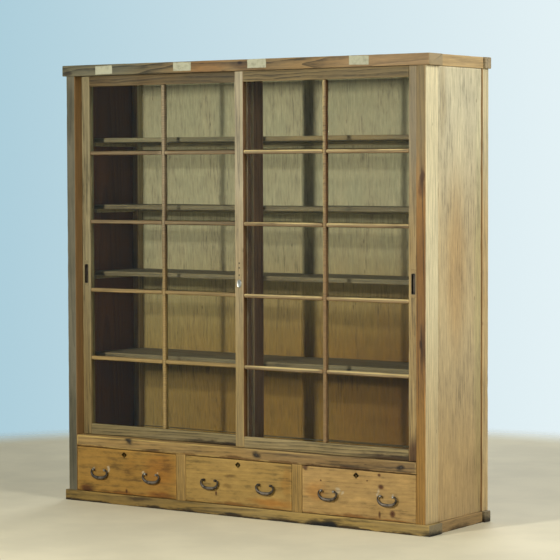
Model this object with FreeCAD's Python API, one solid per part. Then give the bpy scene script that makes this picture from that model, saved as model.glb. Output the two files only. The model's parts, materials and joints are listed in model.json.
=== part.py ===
import FreeCAD, Part
import os

# Display cabinet with two glazed sliding doors above three drawers.
# Millimetres. X runs left to right, Y front to back, Z up from the floor.
# The origin is the middle of the overall box, at floor level.

Vector = FreeCAD.Vector
X_AXIS = Vector(1, 0, 0)
Y_AXIS = Vector(0, 1, 0)
Z_AXIS = Vector(0, 0, 1)
SIDES = (("left", -1), ("right", 1))
DRAWERS = ("left", "middle", "right")
QUARTER_TURN = 90.0

# Carcass
overall_height = 1770.0
body_width = 1697.0
body_depth = 452.0
plinth_height = 42.0
plinth_front_overhang = 2.0
cornice_height = 43.0
cornice_front_overhang = 4.0
rail_side_overhang = 18.0
rear_rail_depth = 43.0
side_rail_width = 43.0
side_rail_proud = 7.0
front_post_width = 42.0
front_post_depth = 90.0
rear_post_width = 51.0
rear_post_depth = 45.0
rear_post_proud = 6.0
panel_thickness = 20.0
panel_tongue_thickness = 10.0
panel_tongue_length = 8.0
drawer_opening_height = 184.0
divider_width = 46.5
divider_depth = 43.0
sill_height = 44.0
sill_tenon_length = 20.0
sill_tenon_width = 40.0
sill_tenon_height = 26.0
deck_thickness = 16.0
top_board_thickness = 14.0
top_board_rise = 12.0
back_board_thickness = 8.0
back_rebate = 15.0
centre_post_width = 45.0
centre_post_depth = 65.0
centre_post_clearance = 12.0
shelf_thickness = 18.0
shelf_height_shares = (0.829, 0.642, 0.455, 0.225)
cleat_size = 15.0
runner_width = 40.0
runner_height = 24.0
guide_height = 40.0
back_board_count = 2
floor_board_count = 3

# Doors: both run in grooves, the right one in the front track
door_setback = 15.0
door_thickness = 27.0
door_gap = 2.0
door_post_clearance = 0.5
door_shoulder_gap = 1.5
upper_groove_depth = 14.0
lower_groove_depth = 4.0
door_tongue_thickness = 14.0
door_tongue_headroom = 3.0
groove_clearance = 0.4
stile_width = 40.0
door_top_rail_height = 40.5
door_bottom_rail_height = 42.5
door_tenon_length = 24.0
door_tenon_thickness = 8.0
door_tenon_shoulder_share = 0.25
pane_columns = 2
pane_rows = 5
bar_width = 15.5
bar_depth = 22.0
bar_setback = 1.5
bar_tenon_length = 6.0
glass_thickness = 3.0
glass_setback = 11.0
glass_lap = 4.0
glass_clearance = 0.2

# Metal let into the doors
cup_width = 17.0
cup_height = 77.0
cup_depth = 9.0
cup_wall = 1.2
cup_corner_radius = 4.0
cup_centre_height = 926.0
door_lock_height = 907.0
lock_plate_width = 22.0
lock_plate_height = 32.0
lock_plate_thickness = 2.5
lock_barrel_radius = 8.0
key_slot_width = 1.6
key_slot_height = 9.0
key_slot_depth = 12.0
let_in_clearance = 0.05

# Drawers
drawer_setback = 1.0
drawer_side_gap = 1.0
drawer_top_gap = 3.0
drawer_bottom_gap = 2.0
drawer_front_thickness = 20.0
drawer_rear_clearance = 20.0
drawer_box_inset = 4.0
drawer_side_thickness = 12.0
drawer_side_drop = 14.0
drawer_bottom_thickness = 8.0
keyhole_drop = 20.0
keyhole_shifts = (-9.0, 0.0, -9.0)
escutcheon_width = 27.0
escutcheon_height = 24.0
escutcheon_thickness = 1.5
drawer_lock_barrel_radius = 6.0
drawer_lock_width = 54.0
drawer_lock_height = 32.0
drawer_lock_thickness = 12.0
keyhole_radius = 1.9
keyhole_slot_width = 1.8
keyhole_slot_height = 8.0

# Drawer pulls: an iron bail whose ends turn in through two eye posts
pull_spread = 132.0
pull_pivot_drop = 88.0
pull_standoff = 9.5
pull_half_width = 41.0
pull_fall = 38.7
bail_radius = 4.3
bail_end_radius = 2.9
bail_pin_radius = 2.1
bail_top_bend = 6.0
bail_bottom_bend = 16.0
bail_taper_length = 13.0
pin_clearance = 0.05
pin_end_length = 1.5
eye_spacing = 56.0
eye_length = 7.0
eye_radius = 5.0
eye_shank_radius = 2.6
eye_clench = 4.0

# One overrun for every cut that passes through a face
overrun = 5.0

# Places worked out from the sizes above
pull_reach = pull_standoff + eye_radius - drawer_setback
front_reach = max(pull_reach, cornice_front_overhang, plinth_front_overhang)
front_y = front_reach - (front_reach + body_depth) / 2
rear_y = front_y + body_depth
post_back_y = front_y + front_post_depth
rear_post_y = rear_y - rear_post_depth
back_face_y = rear_y - back_board_thickness
rear_rail_y = rear_y - rear_rail_depth
half_body = body_width / 2
half_open = half_body - front_post_width
half_inside = half_body - panel_thickness
half_rail = half_body + rail_side_overhang
half_side_rail = half_body + side_rail_proud
rear_post_outer = half_body + rear_post_proud
rear_post_inner = rear_post_outer - rear_post_width
sill_bottom = plinth_height + drawer_opening_height
sill_top = sill_bottom + sill_height
cornice_bottom = overall_height - cornice_height

door_width = half_open - door_post_clearance + stile_width / 2
door_bottom = sill_top + door_shoulder_gap
door_top = cornice_bottom - door_shoulder_gap
front_track_y = front_y + door_setback
rear_track_y = front_track_y + door_thickness + door_gap
centre_post_y = rear_track_y + door_thickness + centre_post_clearance
shelf_y = centre_post_y + centre_post_depth

drawer_opening_width = (2 * half_open - (len(DRAWERS) - 1) * divider_width) / len(DRAWERS)
drawer_pitch = drawer_opening_width + divider_width
drawer_face_y = front_y + drawer_setback
drawer_back_y = drawer_face_y + drawer_front_thickness
drawer_end_y = rear_post_y - drawer_rear_clearance
drawer_bottom = plinth_height + drawer_bottom_gap
drawer_top = sill_bottom - drawer_top_gap
pivot_y = drawer_face_y - pull_standoff
pivot_z = drawer_top - pull_pivot_drop


def save(name, shapes):
    """Write one node: a single solid or a group of separate solids."""
    shapes = shapes if isinstance(shapes, list) else [shapes]
    node = shapes[0] if len(shapes) == 1 else Part.makeCompound(shapes)
    node.exportStep(os.path.join("parts", name + ".step"))


def block(x0, x1, y0, y1, z0, z1):
    """A squared piece between two corners, in either order along X."""
    low_x = min(x0, x1)
    return Part.makeBox(abs(x1 - x0), y1 - y0, z1 - z0, Vector(low_x, y0, z0))


def grown(shape_box, margin):
    """The given corner list, larger by a margin on every side."""
    x0, x1, y0, y1, z0, z1 = shape_box
    return (x0 - margin, x1 + margin, y0 - margin, y1 + margin, z0 - margin, z1 + margin)


def rounded_block(x0, x1, y0, y1, z0, z1, radius):
    """A squared piece with its four edges along Y rounded."""
    piece = block(x0, x1, y0, y1, z0, z1)
    edges = [e for e in piece.Edges if e.Vertexes[0].Point.y != e.Vertexes[1].Point.y]
    return piece.makeFillet(radius, edges)


def rod(radius, start, axis, length):
    """A round bar from a point along an axis."""
    return Part.makeCylinder(radius, length, start, axis)


def disc(radius, centre, axis):
    """A round face, to be turned into a bend."""
    return Part.Face(Part.Wire(Part.makeCircle(radius, centre, axis)))


def boards(count, x0, x1, y0, y1, z0, z1, along_x):
    """Equal boards laid edge to edge, side by side along X or along Y."""
    pieces = []
    for i in range(count):
        low, high = i / count, (i + 1) / count
        if along_x:
            pieces.append(block(x0 + (x1 - x0) * low, x0 + (x1 - x0) * high, y0, y1, z0, z1))
        else:
            pieces.append(block(x0, x1, y0 + (y1 - y0) * low, y0 + (y1 - y0) * high, z0, z1))
    return pieces


def rear_post_block(side):
    return block(side * rear_post_inner, side * rear_post_outer, rear_post_y, rear_y,
                 plinth_height, cornice_bottom)


def panel_tongues(side):
    """The two tongues that hold a side panel between its posts."""
    middle = half_body - panel_thickness / 2
    x0 = side * (middle - panel_tongue_thickness / 2)
    x1 = side * (middle + panel_tongue_thickness / 2)
    front = block(x0, x1, post_back_y - panel_tongue_length, post_back_y, plinth_height, cornice_bottom)
    rear = block(x0, x1, rear_post_y, rear_post_y + panel_tongue_length, plinth_height, cornice_bottom)
    return front, rear


def sill_tenon(side):
    middle_y = front_y + front_post_depth / 2
    middle_z = sill_bottom + sill_height / 2
    return block(side * half_open, side * (half_open + sill_tenon_length),
                 middle_y - sill_tenon_width / 2, middle_y + sill_tenon_width / 2,
                 middle_z - sill_tenon_height / 2, middle_z + sill_tenon_height / 2)


def door_grooves(z0, z1):
    """Both track grooves between the posts, from z0 to z1."""
    cuts = []
    for track_y in (front_track_y, rear_track_y):
        middle = track_y + door_thickness / 2
        half = door_tongue_thickness / 2 + groove_clearance
        cuts.append(block(-half_open, half_open, middle - half, middle + half, z0, z1))
    return cuts


def make_posts():
    back_edge = block(-rear_post_inner - back_rebate, rear_post_inner + back_rebate,
                      back_face_y, rear_y + overrun, plinth_height, cornice_bottom)
    for name, side in SIDES:
        front_tongue, rear_tongue = panel_tongues(side)
        post = block(side * half_open, side * half_body, front_y, post_back_y, plinth_height, cornice_bottom)
        save("front_post_" + name, post.cut([front_tongue, sill_tenon(side)]))
        save("rear_post_" + name, rear_post_block(side).cut([rear_tongue, back_edge]))
        panel = block(side * half_inside, side * half_body, post_back_y, rear_post_y,
                      plinth_height, cornice_bottom)
        save("side_panel_" + name, panel.fuse([front_tongue, rear_tongue]).removeSplitter())


def make_cornice():
    front = block(-half_rail, half_rail, front_y - cornice_front_overhang, post_back_y,
                  cornice_bottom, overall_height)
    grooves = door_grooves(cornice_bottom - overrun, cornice_bottom + upper_groove_depth)
    save("cornice_front_rail", front.cut(grooves))
    save("cornice_rear_rail", block(-half_rail, half_rail, rear_rail_y, rear_y,
                                    cornice_bottom, overall_height))
    inner = half_side_rail - side_rail_width
    save("cornice_side_rails", [block(side * inner, side * half_side_rail, post_back_y, rear_rail_y,
                                      cornice_bottom, overall_height) for _, side in SIDES])
    board_z = cornice_bottom + top_board_rise
    save("top_boards", boards(floor_board_count, -inner, inner, post_back_y, rear_rail_y,
                              board_z, board_z + top_board_thickness, False))


def make_plinth():
    save("plinth_front_rail", block(-half_rail, half_rail, front_y - plinth_front_overhang, post_back_y,
                                    0, plinth_height))
    save("plinth_rear_rail", block(-half_rail, half_rail, rear_rail_y, rear_y, 0, plinth_height))
    inner = half_side_rail - side_rail_width
    save("plinth_side_rails", [block(side * inner, side * half_side_rail, post_back_y, rear_rail_y,
                                     0, plinth_height) for _, side in SIDES])


def make_sill():
    sill = block(-half_open, half_open, front_y, post_back_y, sill_bottom, sill_top)
    sill = sill.fuse([sill_tenon(-1), sill_tenon(1)]).removeSplitter()
    save("sill_rail", sill.cut(door_grooves(sill_top - lower_groove_depth, sill_top + overrun)))
    dividers = []
    for i in range(1, len(DRAWERS)):
        x1 = -half_open + i * drawer_pitch
        dividers.append(block(x1 - divider_width, x1, front_y, front_y + divider_depth,
                              plinth_height, sill_bottom))
    save("drawer_dividers", dividers)


def make_inside():
    posts = [rear_post_block(side) for _, side in SIDES]
    deck = boards(floor_board_count, -half_inside, half_inside, post_back_y, back_face_y,
                  sill_top - deck_thickness, sill_top, False)
    save("cabinet_floor", [board.cut(posts) for board in deck])
    half_back = rear_post_inner + back_rebate
    save("back_boards", boards(back_board_count, -half_back, half_back, back_face_y, rear_y,
                               plinth_height, cornice_bottom, True))
    save("centre_post", block(-centre_post_width / 2, centre_post_width / 2,
                              centre_post_y, centre_post_y + centre_post_depth, sill_top, cornice_bottom))
    levels = [(sill_top - deck_thickness, post_back_y)]
    for number, share in enumerate(shelf_height_shares, 1):
        top = sill_top + share * (cornice_bottom - sill_top)
        shelf = block(-half_inside, half_inside, shelf_y, back_face_y, top - shelf_thickness, top)
        save("shelf_%d" % number, shelf.cut(posts))
        levels.append((top - shelf_thickness, shelf_y))
    cleats = []
    for under, start_y in levels:
        for _, side in SIDES:
            cleats.append(block(side * (half_inside - cleat_size), side * half_inside, start_y, rear_post_y,
                                under - cleat_size, under))
        cleats.append(block(-rear_post_inner, rear_post_inner, back_face_y - cleat_size, back_face_y,
                            under - cleat_size, under))
    save("shelf_cleats", cleats)


def make_runners():
    """Rails that carry the drawers, and guides that steer their sides."""
    posts = [rear_post_block(side) for _, side in SIDES]
    pieces = []
    for i in range(len(DRAWERS)):
        x0 = -half_open + i * drawer_pitch
        x1 = x0 + drawer_opening_width
        for low_x in (x0, x1 - runner_width):
            runner = block(low_x, low_x + runner_width, post_back_y, rear_rail_y,
                           drawer_bottom - runner_height, drawer_bottom)
            pieces.append(runner.cut(posts))
    guide_top = drawer_bottom + guide_height
    for i in range(1, len(DRAWERS)):
        x1 = -half_open + i * drawer_pitch
        pieces.append(block(x1 - divider_width, x1, front_y + divider_depth, back_face_y,
                            plinth_height, guide_top))
    for _, side in SIDES:
        pieces.append(block(side * half_open, side * half_inside, post_back_y, rear_post_y,
                            plinth_height, guide_top))
    save("drawer_runners", pieces)


def door_tongues(x0, x1, track_y):
    """The thin lips along the bottom and top that run in the grooves."""
    middle = track_y + door_thickness / 2
    y0 = middle - door_tongue_thickness / 2
    y1 = middle + door_tongue_thickness / 2
    tongue_top = cornice_bottom + upper_groove_depth - door_tongue_headroom
    return (block(x0, x1, y0, y1, sill_top - lower_groove_depth, door_bottom),
            block(x0, x1, y0, y1, door_top, tongue_top))


def door_panes(x0, x1, track_y):
    """Corner lists of the panes, each lapping into the wood around it."""
    light_x0 = x0 + stile_width
    light_z0 = door_bottom + door_bottom_rail_height
    width = (x1 - stile_width - light_x0 - (pane_columns - 1) * bar_width) / pane_columns
    height = (door_top - door_top_rail_height - light_z0 - (pane_rows - 1) * bar_width) / pane_rows
    y0 = track_y + glass_setback
    panes = []
    for column in range(pane_columns):
        for row in range(pane_rows):
            left = light_x0 + column * (width + bar_width)
            low = light_z0 + row * (height + bar_width)
            panes.append((left - glass_lap, left + width + glass_lap, y0, y0 + glass_thickness,
                          low - glass_lap, low + height + glass_lap))
    return panes, width, height


def door_bars(x0, x1, track_y, width, height):
    """Upright and cross bars, halved into each other where they cross."""
    y0 = track_y + bar_setback
    y1 = y0 + bar_depth
    middle = (y0 + y1) / 2
    light_x0, light_x1 = x0 + stile_width, x1 - stile_width
    light_z0, light_z1 = door_bottom + door_bottom_rail_height, door_top - door_top_rail_height
    uprights = []
    for column in range(1, pane_columns):
        left = light_x0 + column * (width + bar_width) - bar_width
        uprights.append((left, left + bar_width, y0, y1,
                         light_z0 - bar_tenon_length, light_z1 + bar_tenon_length))
    crosses = []
    for row in range(1, pane_rows):
        low = light_z0 + row * (height + bar_width) - bar_width
        crosses.append((light_x0 - bar_tenon_length, light_x1 + bar_tenon_length, y0, y1,
                        low, low + bar_width))
    notches_rear = [block(u[0], u[1], middle, y1, c[4], c[5]) for u in uprights for c in crosses]
    notches_front = [block(u[0], u[1], y0, middle, c[4], c[5]) for u in uprights for c in crosses]
    return ([block(*u).cut(notches_rear) for u in uprights]
            + [block(*c).cut(notches_front) for c in crosses])


def finger_cup(centre_x, track_y):
    """A dished metal pull and the pocket that it is let into."""
    x0, x1 = centre_x - cup_width / 2, centre_x + cup_width / 2
    z0, z1 = cup_centre_height - cup_height / 2, cup_centre_height + cup_height / 2
    outer = rounded_block(x0, x1, track_y, track_y + cup_depth, z0, z1, cup_corner_radius)
    hollow = rounded_block(x0 + cup_wall, x1 - cup_wall, track_y - overrun, track_y + cup_depth - cup_wall,
                           z0 + cup_wall, z1 - cup_wall, cup_corner_radius - cup_wall)
    gap = let_in_clearance
    pocket = rounded_block(x0 - gap, x1 + gap, track_y - overrun, track_y + cup_depth,
                           z0 - gap, z1 + gap, cup_corner_radius + gap)
    return outer.cut(hollow), pocket


def door_lock(centre_x, track_y):
    """An oval plate on a barrel that goes through the meeting stile."""
    ring = Part.Ellipse(Vector(0, 0, 0), lock_plate_height / 2, lock_plate_width / 2).toShape()
    plate = Part.Face(Part.Wire(ring))
    plate.rotate(Vector(0, 0, 0), Y_AXIS, QUARTER_TURN)
    plate.rotate(Vector(0, 0, 0), Z_AXIS, QUARTER_TURN)
    plate.translate(Vector(centre_x, track_y - lock_plate_thickness, door_lock_height))
    centre = Vector(centre_x, track_y - lock_plate_thickness, door_lock_height)
    lock = plate.extrude(Y_AXIS * lock_plate_thickness)
    lock = lock.fuse(rod(lock_barrel_radius, centre, Y_AXIS, lock_plate_thickness + door_thickness))
    slot = block(centre_x - key_slot_width / 2, centre_x + key_slot_width / 2,
                 track_y - lock_plate_thickness - overrun, track_y + key_slot_depth,
                 door_lock_height - key_slot_height / 2, door_lock_height + key_slot_height / 2)
    bore = rod(lock_barrel_radius + let_in_clearance, centre, Y_AXIS, door_thickness * 2)
    return lock.removeSplitter().cut(slot), bore


def make_door(name, x0, track_y, outer_on_left):
    x1 = x0 + door_width
    y0, y1 = track_y, track_y + door_thickness
    panes, width, height = door_panes(x0, x1, track_y)
    bars = door_bars(x0, x1, track_y, width, height)
    sockets = bars + [block(*grown(pane, glass_clearance)) for pane in panes]
    tenon_y = track_y + (door_thickness - door_tenon_thickness) / 2
    light_z0 = door_bottom + door_bottom_rail_height
    light_z1 = door_top - door_top_rail_height
    spans = {"bottom": (door_bottom, light_z0), "top": (light_z1, door_top)}
    tongue_index = {"bottom": 0, "top": 1}
    tenons = []
    for rail, (z0, z1) in spans.items():
        shoulder = (z1 - z0) * door_tenon_shoulder_share
        tenon = block(x0 + stile_width - door_tenon_length, x1 - stile_width + door_tenon_length,
                      tenon_y, tenon_y + door_tenon_thickness, z0 + shoulder, z1 - shoulder)
        tenons.append(tenon)
        body = block(x0 + stile_width, x1 - stile_width, y0, y1, z0, z1)
        lip = door_tongues(x0 + stile_width, x1 - stile_width, track_y)[tongue_index[rail]]
        save(name + "_" + rail + "_rail", body.fuse([tenon, lip]).removeSplitter().cut(sockets))
    outer_x = x0 if outer_on_left else x1 - stile_width
    meeting_x = x1 - stile_width if outer_on_left else x0
    cup, pocket = finger_cup(outer_x + stile_width / 2, track_y)
    stiles = {}
    for role, left in (("outer", outer_x), ("meeting", meeting_x)):
        body = block(left, left + stile_width, y0, y1, door_bottom, door_top)
        body = body.fuse(list(door_tongues(left, left + stile_width, track_y))).removeSplitter()
        stiles[role] = body.cut(tenons + sockets)
    stiles["outer"] = stiles["outer"].cut(pocket)
    if not outer_on_left:
        lock, bore = door_lock(meeting_x + stile_width / 2, track_y)
        stiles["meeting"] = stiles["meeting"].cut(bore)
        save("door_lock", lock)
    for role, stile in stiles.items():
        save(name + "_" + role + "_stile", stile)
    grooves = [block(*grown(pane, glass_clearance)) for pane in panes]
    save(name + "_glazing_bars", [bar.cut(grooves) for bar in bars])
    save(name + "_glass", [block(*pane) for pane in panes])
    save(name + "_finger_pull", cup)


def bail_half(side, centre_x):
    """One half of a bail, from the middle of its foot to its pin."""
    foot_z = pivot_z - pull_fall
    rail_x = centre_x + side * pull_half_width
    foot_end = rail_x - side * bail_bottom_bend
    foot = rod(bail_radius, Vector(centre_x, pivot_y, foot_z), X_AXIS * side, abs(foot_end - centre_x))
    elbow = disc(bail_radius, Vector(foot_end, pivot_y, foot_z), X_AXIS).revolve(
        Vector(foot_end, pivot_y, foot_z + bail_bottom_bend), Y_AXIS * -side, QUARTER_TURN)
    taper_z = foot_z + bail_bottom_bend
    taper = Part.makeCone(bail_radius, bail_end_radius, bail_taper_length, Vector(rail_x, pivot_y, taper_z))
    neck_z = taper_z + bail_taper_length
    neck = rod(bail_end_radius, Vector(rail_x, pivot_y, neck_z), Z_AXIS, pivot_z - bail_top_bend - neck_z)
    turn_x = rail_x - side * bail_top_bend
    shoulder = disc(bail_end_radius, Vector(rail_x, pivot_y, pivot_z - bail_top_bend), Z_AXIS).revolve(
        Vector(turn_x, pivot_y, pivot_z - bail_top_bend), Y_AXIS * -side, QUARTER_TURN)
    pin_end = centre_x + side * (eye_spacing / 2 - eye_length / 2 - pin_end_length)
    pin = rod(bail_pin_radius, Vector(turn_x, pivot_y, pivot_z), X_AXIS * -side, abs(turn_x - pin_end))
    return [foot, elbow, taper, neck, shoulder, pin]


def make_bail(centre_x):
    pieces = bail_half(-1, centre_x) + bail_half(1, centre_x)
    return pieces[0].fuse(pieces[1:]).removeSplitter()


def eye_posts(centre_x):
    """The two eye posts of a pull, and the holes for their shanks."""
    posts, holes = [], []
    shank_end = drawer_back_y + eye_clench
    for _, side in SIDES:
        eye_x = centre_x + side * eye_spacing / 2
        pivot = Vector(eye_x - eye_length / 2, pivot_y, pivot_z)
        shank_start = Vector(eye_x, pivot_y, pivot_z)
        post = rod(eye_radius, pivot, X_AXIS, eye_length)
        post = post.fuse(rod(eye_shank_radius, shank_start, Y_AXIS, shank_end - pivot_y)).removeSplitter()
        hole_start = pivot - X_AXIS * overrun
        pin_hole = rod(bail_pin_radius + pin_clearance, hole_start, X_AXIS, eye_length + 2 * overrun)
        posts.append(post.cut(pin_hole))
        holes.append(rod(eye_shank_radius + let_in_clearance, shank_start, Y_AXIS,
                         shank_end + overrun - pivot_y))
    return posts, holes


def diamond(centre_x, centre_z, y0, depth, margin):
    """A four-pointed plate standing on one corner."""
    half_w = escutcheon_width / 2 + margin
    half_h = escutcheon_height / 2 + margin
    corners = [Vector(centre_x - half_w, y0, centre_z), Vector(centre_x, y0, centre_z - half_h),
               Vector(centre_x + half_w, y0, centre_z), Vector(centre_x, y0, centre_z + half_h)]
    return Part.Face(Part.makePolygon(corners + corners[:1])).extrude(Y_AXIS * depth)


def drawer_lock(centre_x):
    """Lock case behind the front, its barrel, and a plate flush with the face."""
    centre_z = drawer_top - keyhole_drop
    centre = Vector(centre_x, drawer_face_y, centre_z)
    plate = diamond(centre_x, centre_z, drawer_face_y, escutcheon_thickness, 0)
    barrel = rod(drawer_lock_barrel_radius, centre, Y_AXIS, drawer_front_thickness)
    case_top = drawer_top - drawer_side_drop / 2
    case = block(centre_x - drawer_lock_width / 2, centre_x + drawer_lock_width / 2,
                 drawer_back_y, drawer_back_y + drawer_lock_thickness,
                 case_top - drawer_lock_height, case_top)
    start = centre - Y_AXIS * overrun
    hole = rod(keyhole_radius, start, Y_AXIS, overrun + drawer_front_thickness)
    slot = block(centre_x - keyhole_slot_width / 2, centre_x + keyhole_slot_width / 2,
                 drawer_face_y - overrun, drawer_back_y, centre_z - keyhole_slot_height, centre_z)
    lock = plate.fuse([barrel, case]).removeSplitter().cut([hole, slot])
    recess = diamond(centre_x, centre_z, drawer_face_y - overrun,
                     overrun + escutcheon_thickness, let_in_clearance)
    bore = rod(drawer_lock_barrel_radius + let_in_clearance, start, Y_AXIS,
               overrun * 2 + drawer_front_thickness)
    return lock, [recess, bore]


def make_drawer(index, label):
    name = "drawer_" + label
    x0 = -half_open + index * drawer_pitch + drawer_side_gap
    x1 = x0 + drawer_opening_width - 2 * drawer_side_gap
    centre_x = (x0 + x1) / 2
    front = block(x0, x1, drawer_face_y, drawer_back_y, drawer_bottom, drawer_top)
    lock, cuts = drawer_lock(centre_x + keyhole_shifts[index])
    posts = []
    for side_name, side in SIDES:
        pull_x = centre_x + side * pull_spread
        save(name + "_pull_" + side_name, make_bail(pull_x))
        pair, holes = eye_posts(pull_x)
        posts += pair
        cuts += holes
    save(name + "_front", front.cut(cuts))
    save(name + "_pull_posts", posts)
    save(name + "_lock", lock)
    box_x0, box_x1 = x0 + drawer_box_inset, x1 - drawer_box_inset
    floor_z = drawer_bottom + drawer_bottom_thickness
    side_top = drawer_top - drawer_side_drop
    walls = [block(box_x0, box_x0 + drawer_side_thickness, drawer_back_y, drawer_end_y, floor_z, side_top),
             block(box_x1 - drawer_side_thickness, box_x1, drawer_back_y, drawer_end_y, floor_z, side_top),
             block(box_x0 + drawer_side_thickness, box_x1 - drawer_side_thickness,
                   drawer_end_y - drawer_side_thickness, drawer_end_y, floor_z, side_top)]
    save(name + "_box", walls)
    save(name + "_bottom", block(box_x0, box_x1, drawer_back_y, drawer_end_y, drawer_bottom, floor_z))


def main():
    os.makedirs("parts", exist_ok=True)
    make_posts()
    make_cornice()
    make_plinth()
    make_sill()
    make_inside()
    make_runners()
    make_door("door_left", door_post_clearance - half_open, rear_track_y, True)
    make_door("door_right", half_open - door_post_clearance - door_width, front_track_y, False)
    for index, label in enumerate(DRAWERS):
        make_drawer(index, label)


main()
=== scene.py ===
import json
import math

import bmesh
import bpy
from mathutils import Matrix, Vector, noise


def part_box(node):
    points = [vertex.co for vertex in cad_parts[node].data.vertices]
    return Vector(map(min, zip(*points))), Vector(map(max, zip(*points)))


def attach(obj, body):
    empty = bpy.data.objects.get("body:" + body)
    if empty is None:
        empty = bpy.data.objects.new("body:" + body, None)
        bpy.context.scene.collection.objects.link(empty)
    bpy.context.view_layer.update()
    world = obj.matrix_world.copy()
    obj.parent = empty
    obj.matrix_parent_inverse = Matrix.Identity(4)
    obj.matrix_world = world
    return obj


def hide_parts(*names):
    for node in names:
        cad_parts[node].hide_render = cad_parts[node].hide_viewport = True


bl_info = {
    "name": "Barred Display Cabinet",
    "version": (1, 0, 0),
    "blender": (4, 5, 0),
    "location": "View3D > Sidebar > Cabinet",
    "description": "Dresses a display cabinet in aged timber, old glass and forged iron",
    "category": "Object",
}

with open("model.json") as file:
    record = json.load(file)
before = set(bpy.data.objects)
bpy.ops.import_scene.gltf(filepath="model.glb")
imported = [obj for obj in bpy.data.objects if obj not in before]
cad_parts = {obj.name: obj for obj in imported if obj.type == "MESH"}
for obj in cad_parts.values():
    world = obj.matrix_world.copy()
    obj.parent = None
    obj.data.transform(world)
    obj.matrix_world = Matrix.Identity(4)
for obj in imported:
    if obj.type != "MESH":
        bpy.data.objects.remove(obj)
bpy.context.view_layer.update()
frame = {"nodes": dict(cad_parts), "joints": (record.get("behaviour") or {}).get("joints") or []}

SIDES = ("left", "right")
DRAWERS = ("left", "middle", "right")
# For each grain direction: the axes along, across and up, in a right-handed turn
AXES = {"X": (0, 1, 2), "Y": (1, 2, 0), "Z": (2, 0, 1)}
# Turns that bring the grain of a piece onto the X of its figure
GRAIN_TURN = {"X": (0.0, 0.0, 0.0), "Y": (0.0, 0.0, -math.pi / 2), "Z": (0.0, math.pi / 2, 0.0)}

# Tolerances in metres, and the turn in degrees past which an edge stays sharp
SAME_POINT = 1e-6
FLAT = 1e-5
SHARP_TURN = 35.0

# Fits of the joinery, in metres
REBATE_FIT = 0.0004
SHOULDER_GAP = 0.0015
LIP_OVERLAP = 0.0015
LIP_HEADROOM = 0.003
LIP_ARRIS = 0.0005
PULL_EASE = 0.0002
PULL_CORNER = 0.004
PANE_LAP = 0.0008
PANE_ARRIS = 0.0003
# How far a cutter runs past what it cuts
OVERRUN = 0.02
# Distances between rings on timbers whose edges show little, or not at all
HIDDEN_STEP = 0.1
PLAIN_STEP = 1.0

# Places of the nail heads in the sill: x and height
SILL_NAILS = ((-0.532, 0.2610), (0.0886, 0.2485), (0.7425, 0.2470))
# Places of the paper labels on the cornice: x, height and lean
LABELS = ((-0.6505, 1.7475, 0.02), (-0.258, 1.7505, -0.015), (0.099, 1.7525, 0.01), (0.562, 1.7515, -0.02))

# Noises in the timber figure: stretch along and across the grain, detail and roughness
FIGURE_NOISE = {"streaks": (2.2, 80.0, 5.0, 0.7), "fibres": (8.0, 115.0, 5.0, 0.75),
                "dashes": (24.0, 150.0, 3.0, 0.6), "blotch": (3.0, 8.0, 4.0, 0.6),
                "mottle": (15.0, 42.0, 4.0, 0.65)}
FIGURE_INPUTS = {"Vector": ("Vector",), "Color": ("Light", "Middle", "Dark", "Grey", "Worn", "End And Shade"),
                 "Float": ("Rings", "Figure", "Ring Depth", "Greyness", "Wear", "Fleck", "Streak",
                           "Waviness", "Dash", "Mottle")}
# How far the tone of a board moves its figure: along, across and up
TONE_SHIFT = (7.3, 0.11, 0.07)
SEED_SHIFT = 1.37
# Scale of the ring texture times the distance between rings
RING_SCALE = 0.314
# How much lighter and darker than its middle colour a timber gets
LIGHT_GAIN, DARK_LOSS = 0.46, 0.64
# Layers with a clean edge; the others follow a ragged one
CLEAN_LAYERS = ("skin", "knot", "paint", "shade")

# The rounded end of a timber, in shares of its arris: distance from the end, inset, and end grain
END_ROUNDING = ((0.0, 1.0, 1.0), (0.3, 0.286, 0.6), (1.0, 0.0, 0.0))
# The door lock from the stile to the middle of its plug: width share, height share and lift share
LOCK_RINGS = ((1.0, 1.0, 0.0), (1.0, 1.0, 0.45), (0.95, 0.965, 0.8), (0.84, 0.89, 1.0),
              (0.74, 0.82, 0.85), (0.56, 0.40, 0.70), (0.54, 0.385, 0.95), (0.46, 0.33, 1.0),
              (0.06, 0.15, 1.0), (0.05, 0.14, -0.6))
# The right half of a bail from pin to foot: x and z shares, height share and depth share
BAIL_RUN = ((0.50, 0.0, 0.322, 0.48), (0.69, 0.0, 0.322, 0.48), (0.775, 0.003, 0.36, 0.56),
            (0.845, -0.055, 0.41, 0.62), (0.88, -0.17, 0.47, 0.68), (0.88, -0.31, 0.58, 0.78),
            (0.80, -0.475, 0.73, 0.88), (0.62, -0.635, 0.89, 0.96), (0.35, -0.73, 0.98, 1.0),
            (0.0, -0.755, 1.0, 1.0))


def length(label, words, default):
    return bpy.props.FloatProperty(name=label, description=words, default=default, min=0.0,
                                   precision=4, unit="LENGTH")


def tint(label, words, default):
    return bpy.props.FloatVectorProperty(name=label, description=words, default=default, size=3,
                                         min=0.0, max=1.0, subtype="COLOR_GAMMA")


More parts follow.
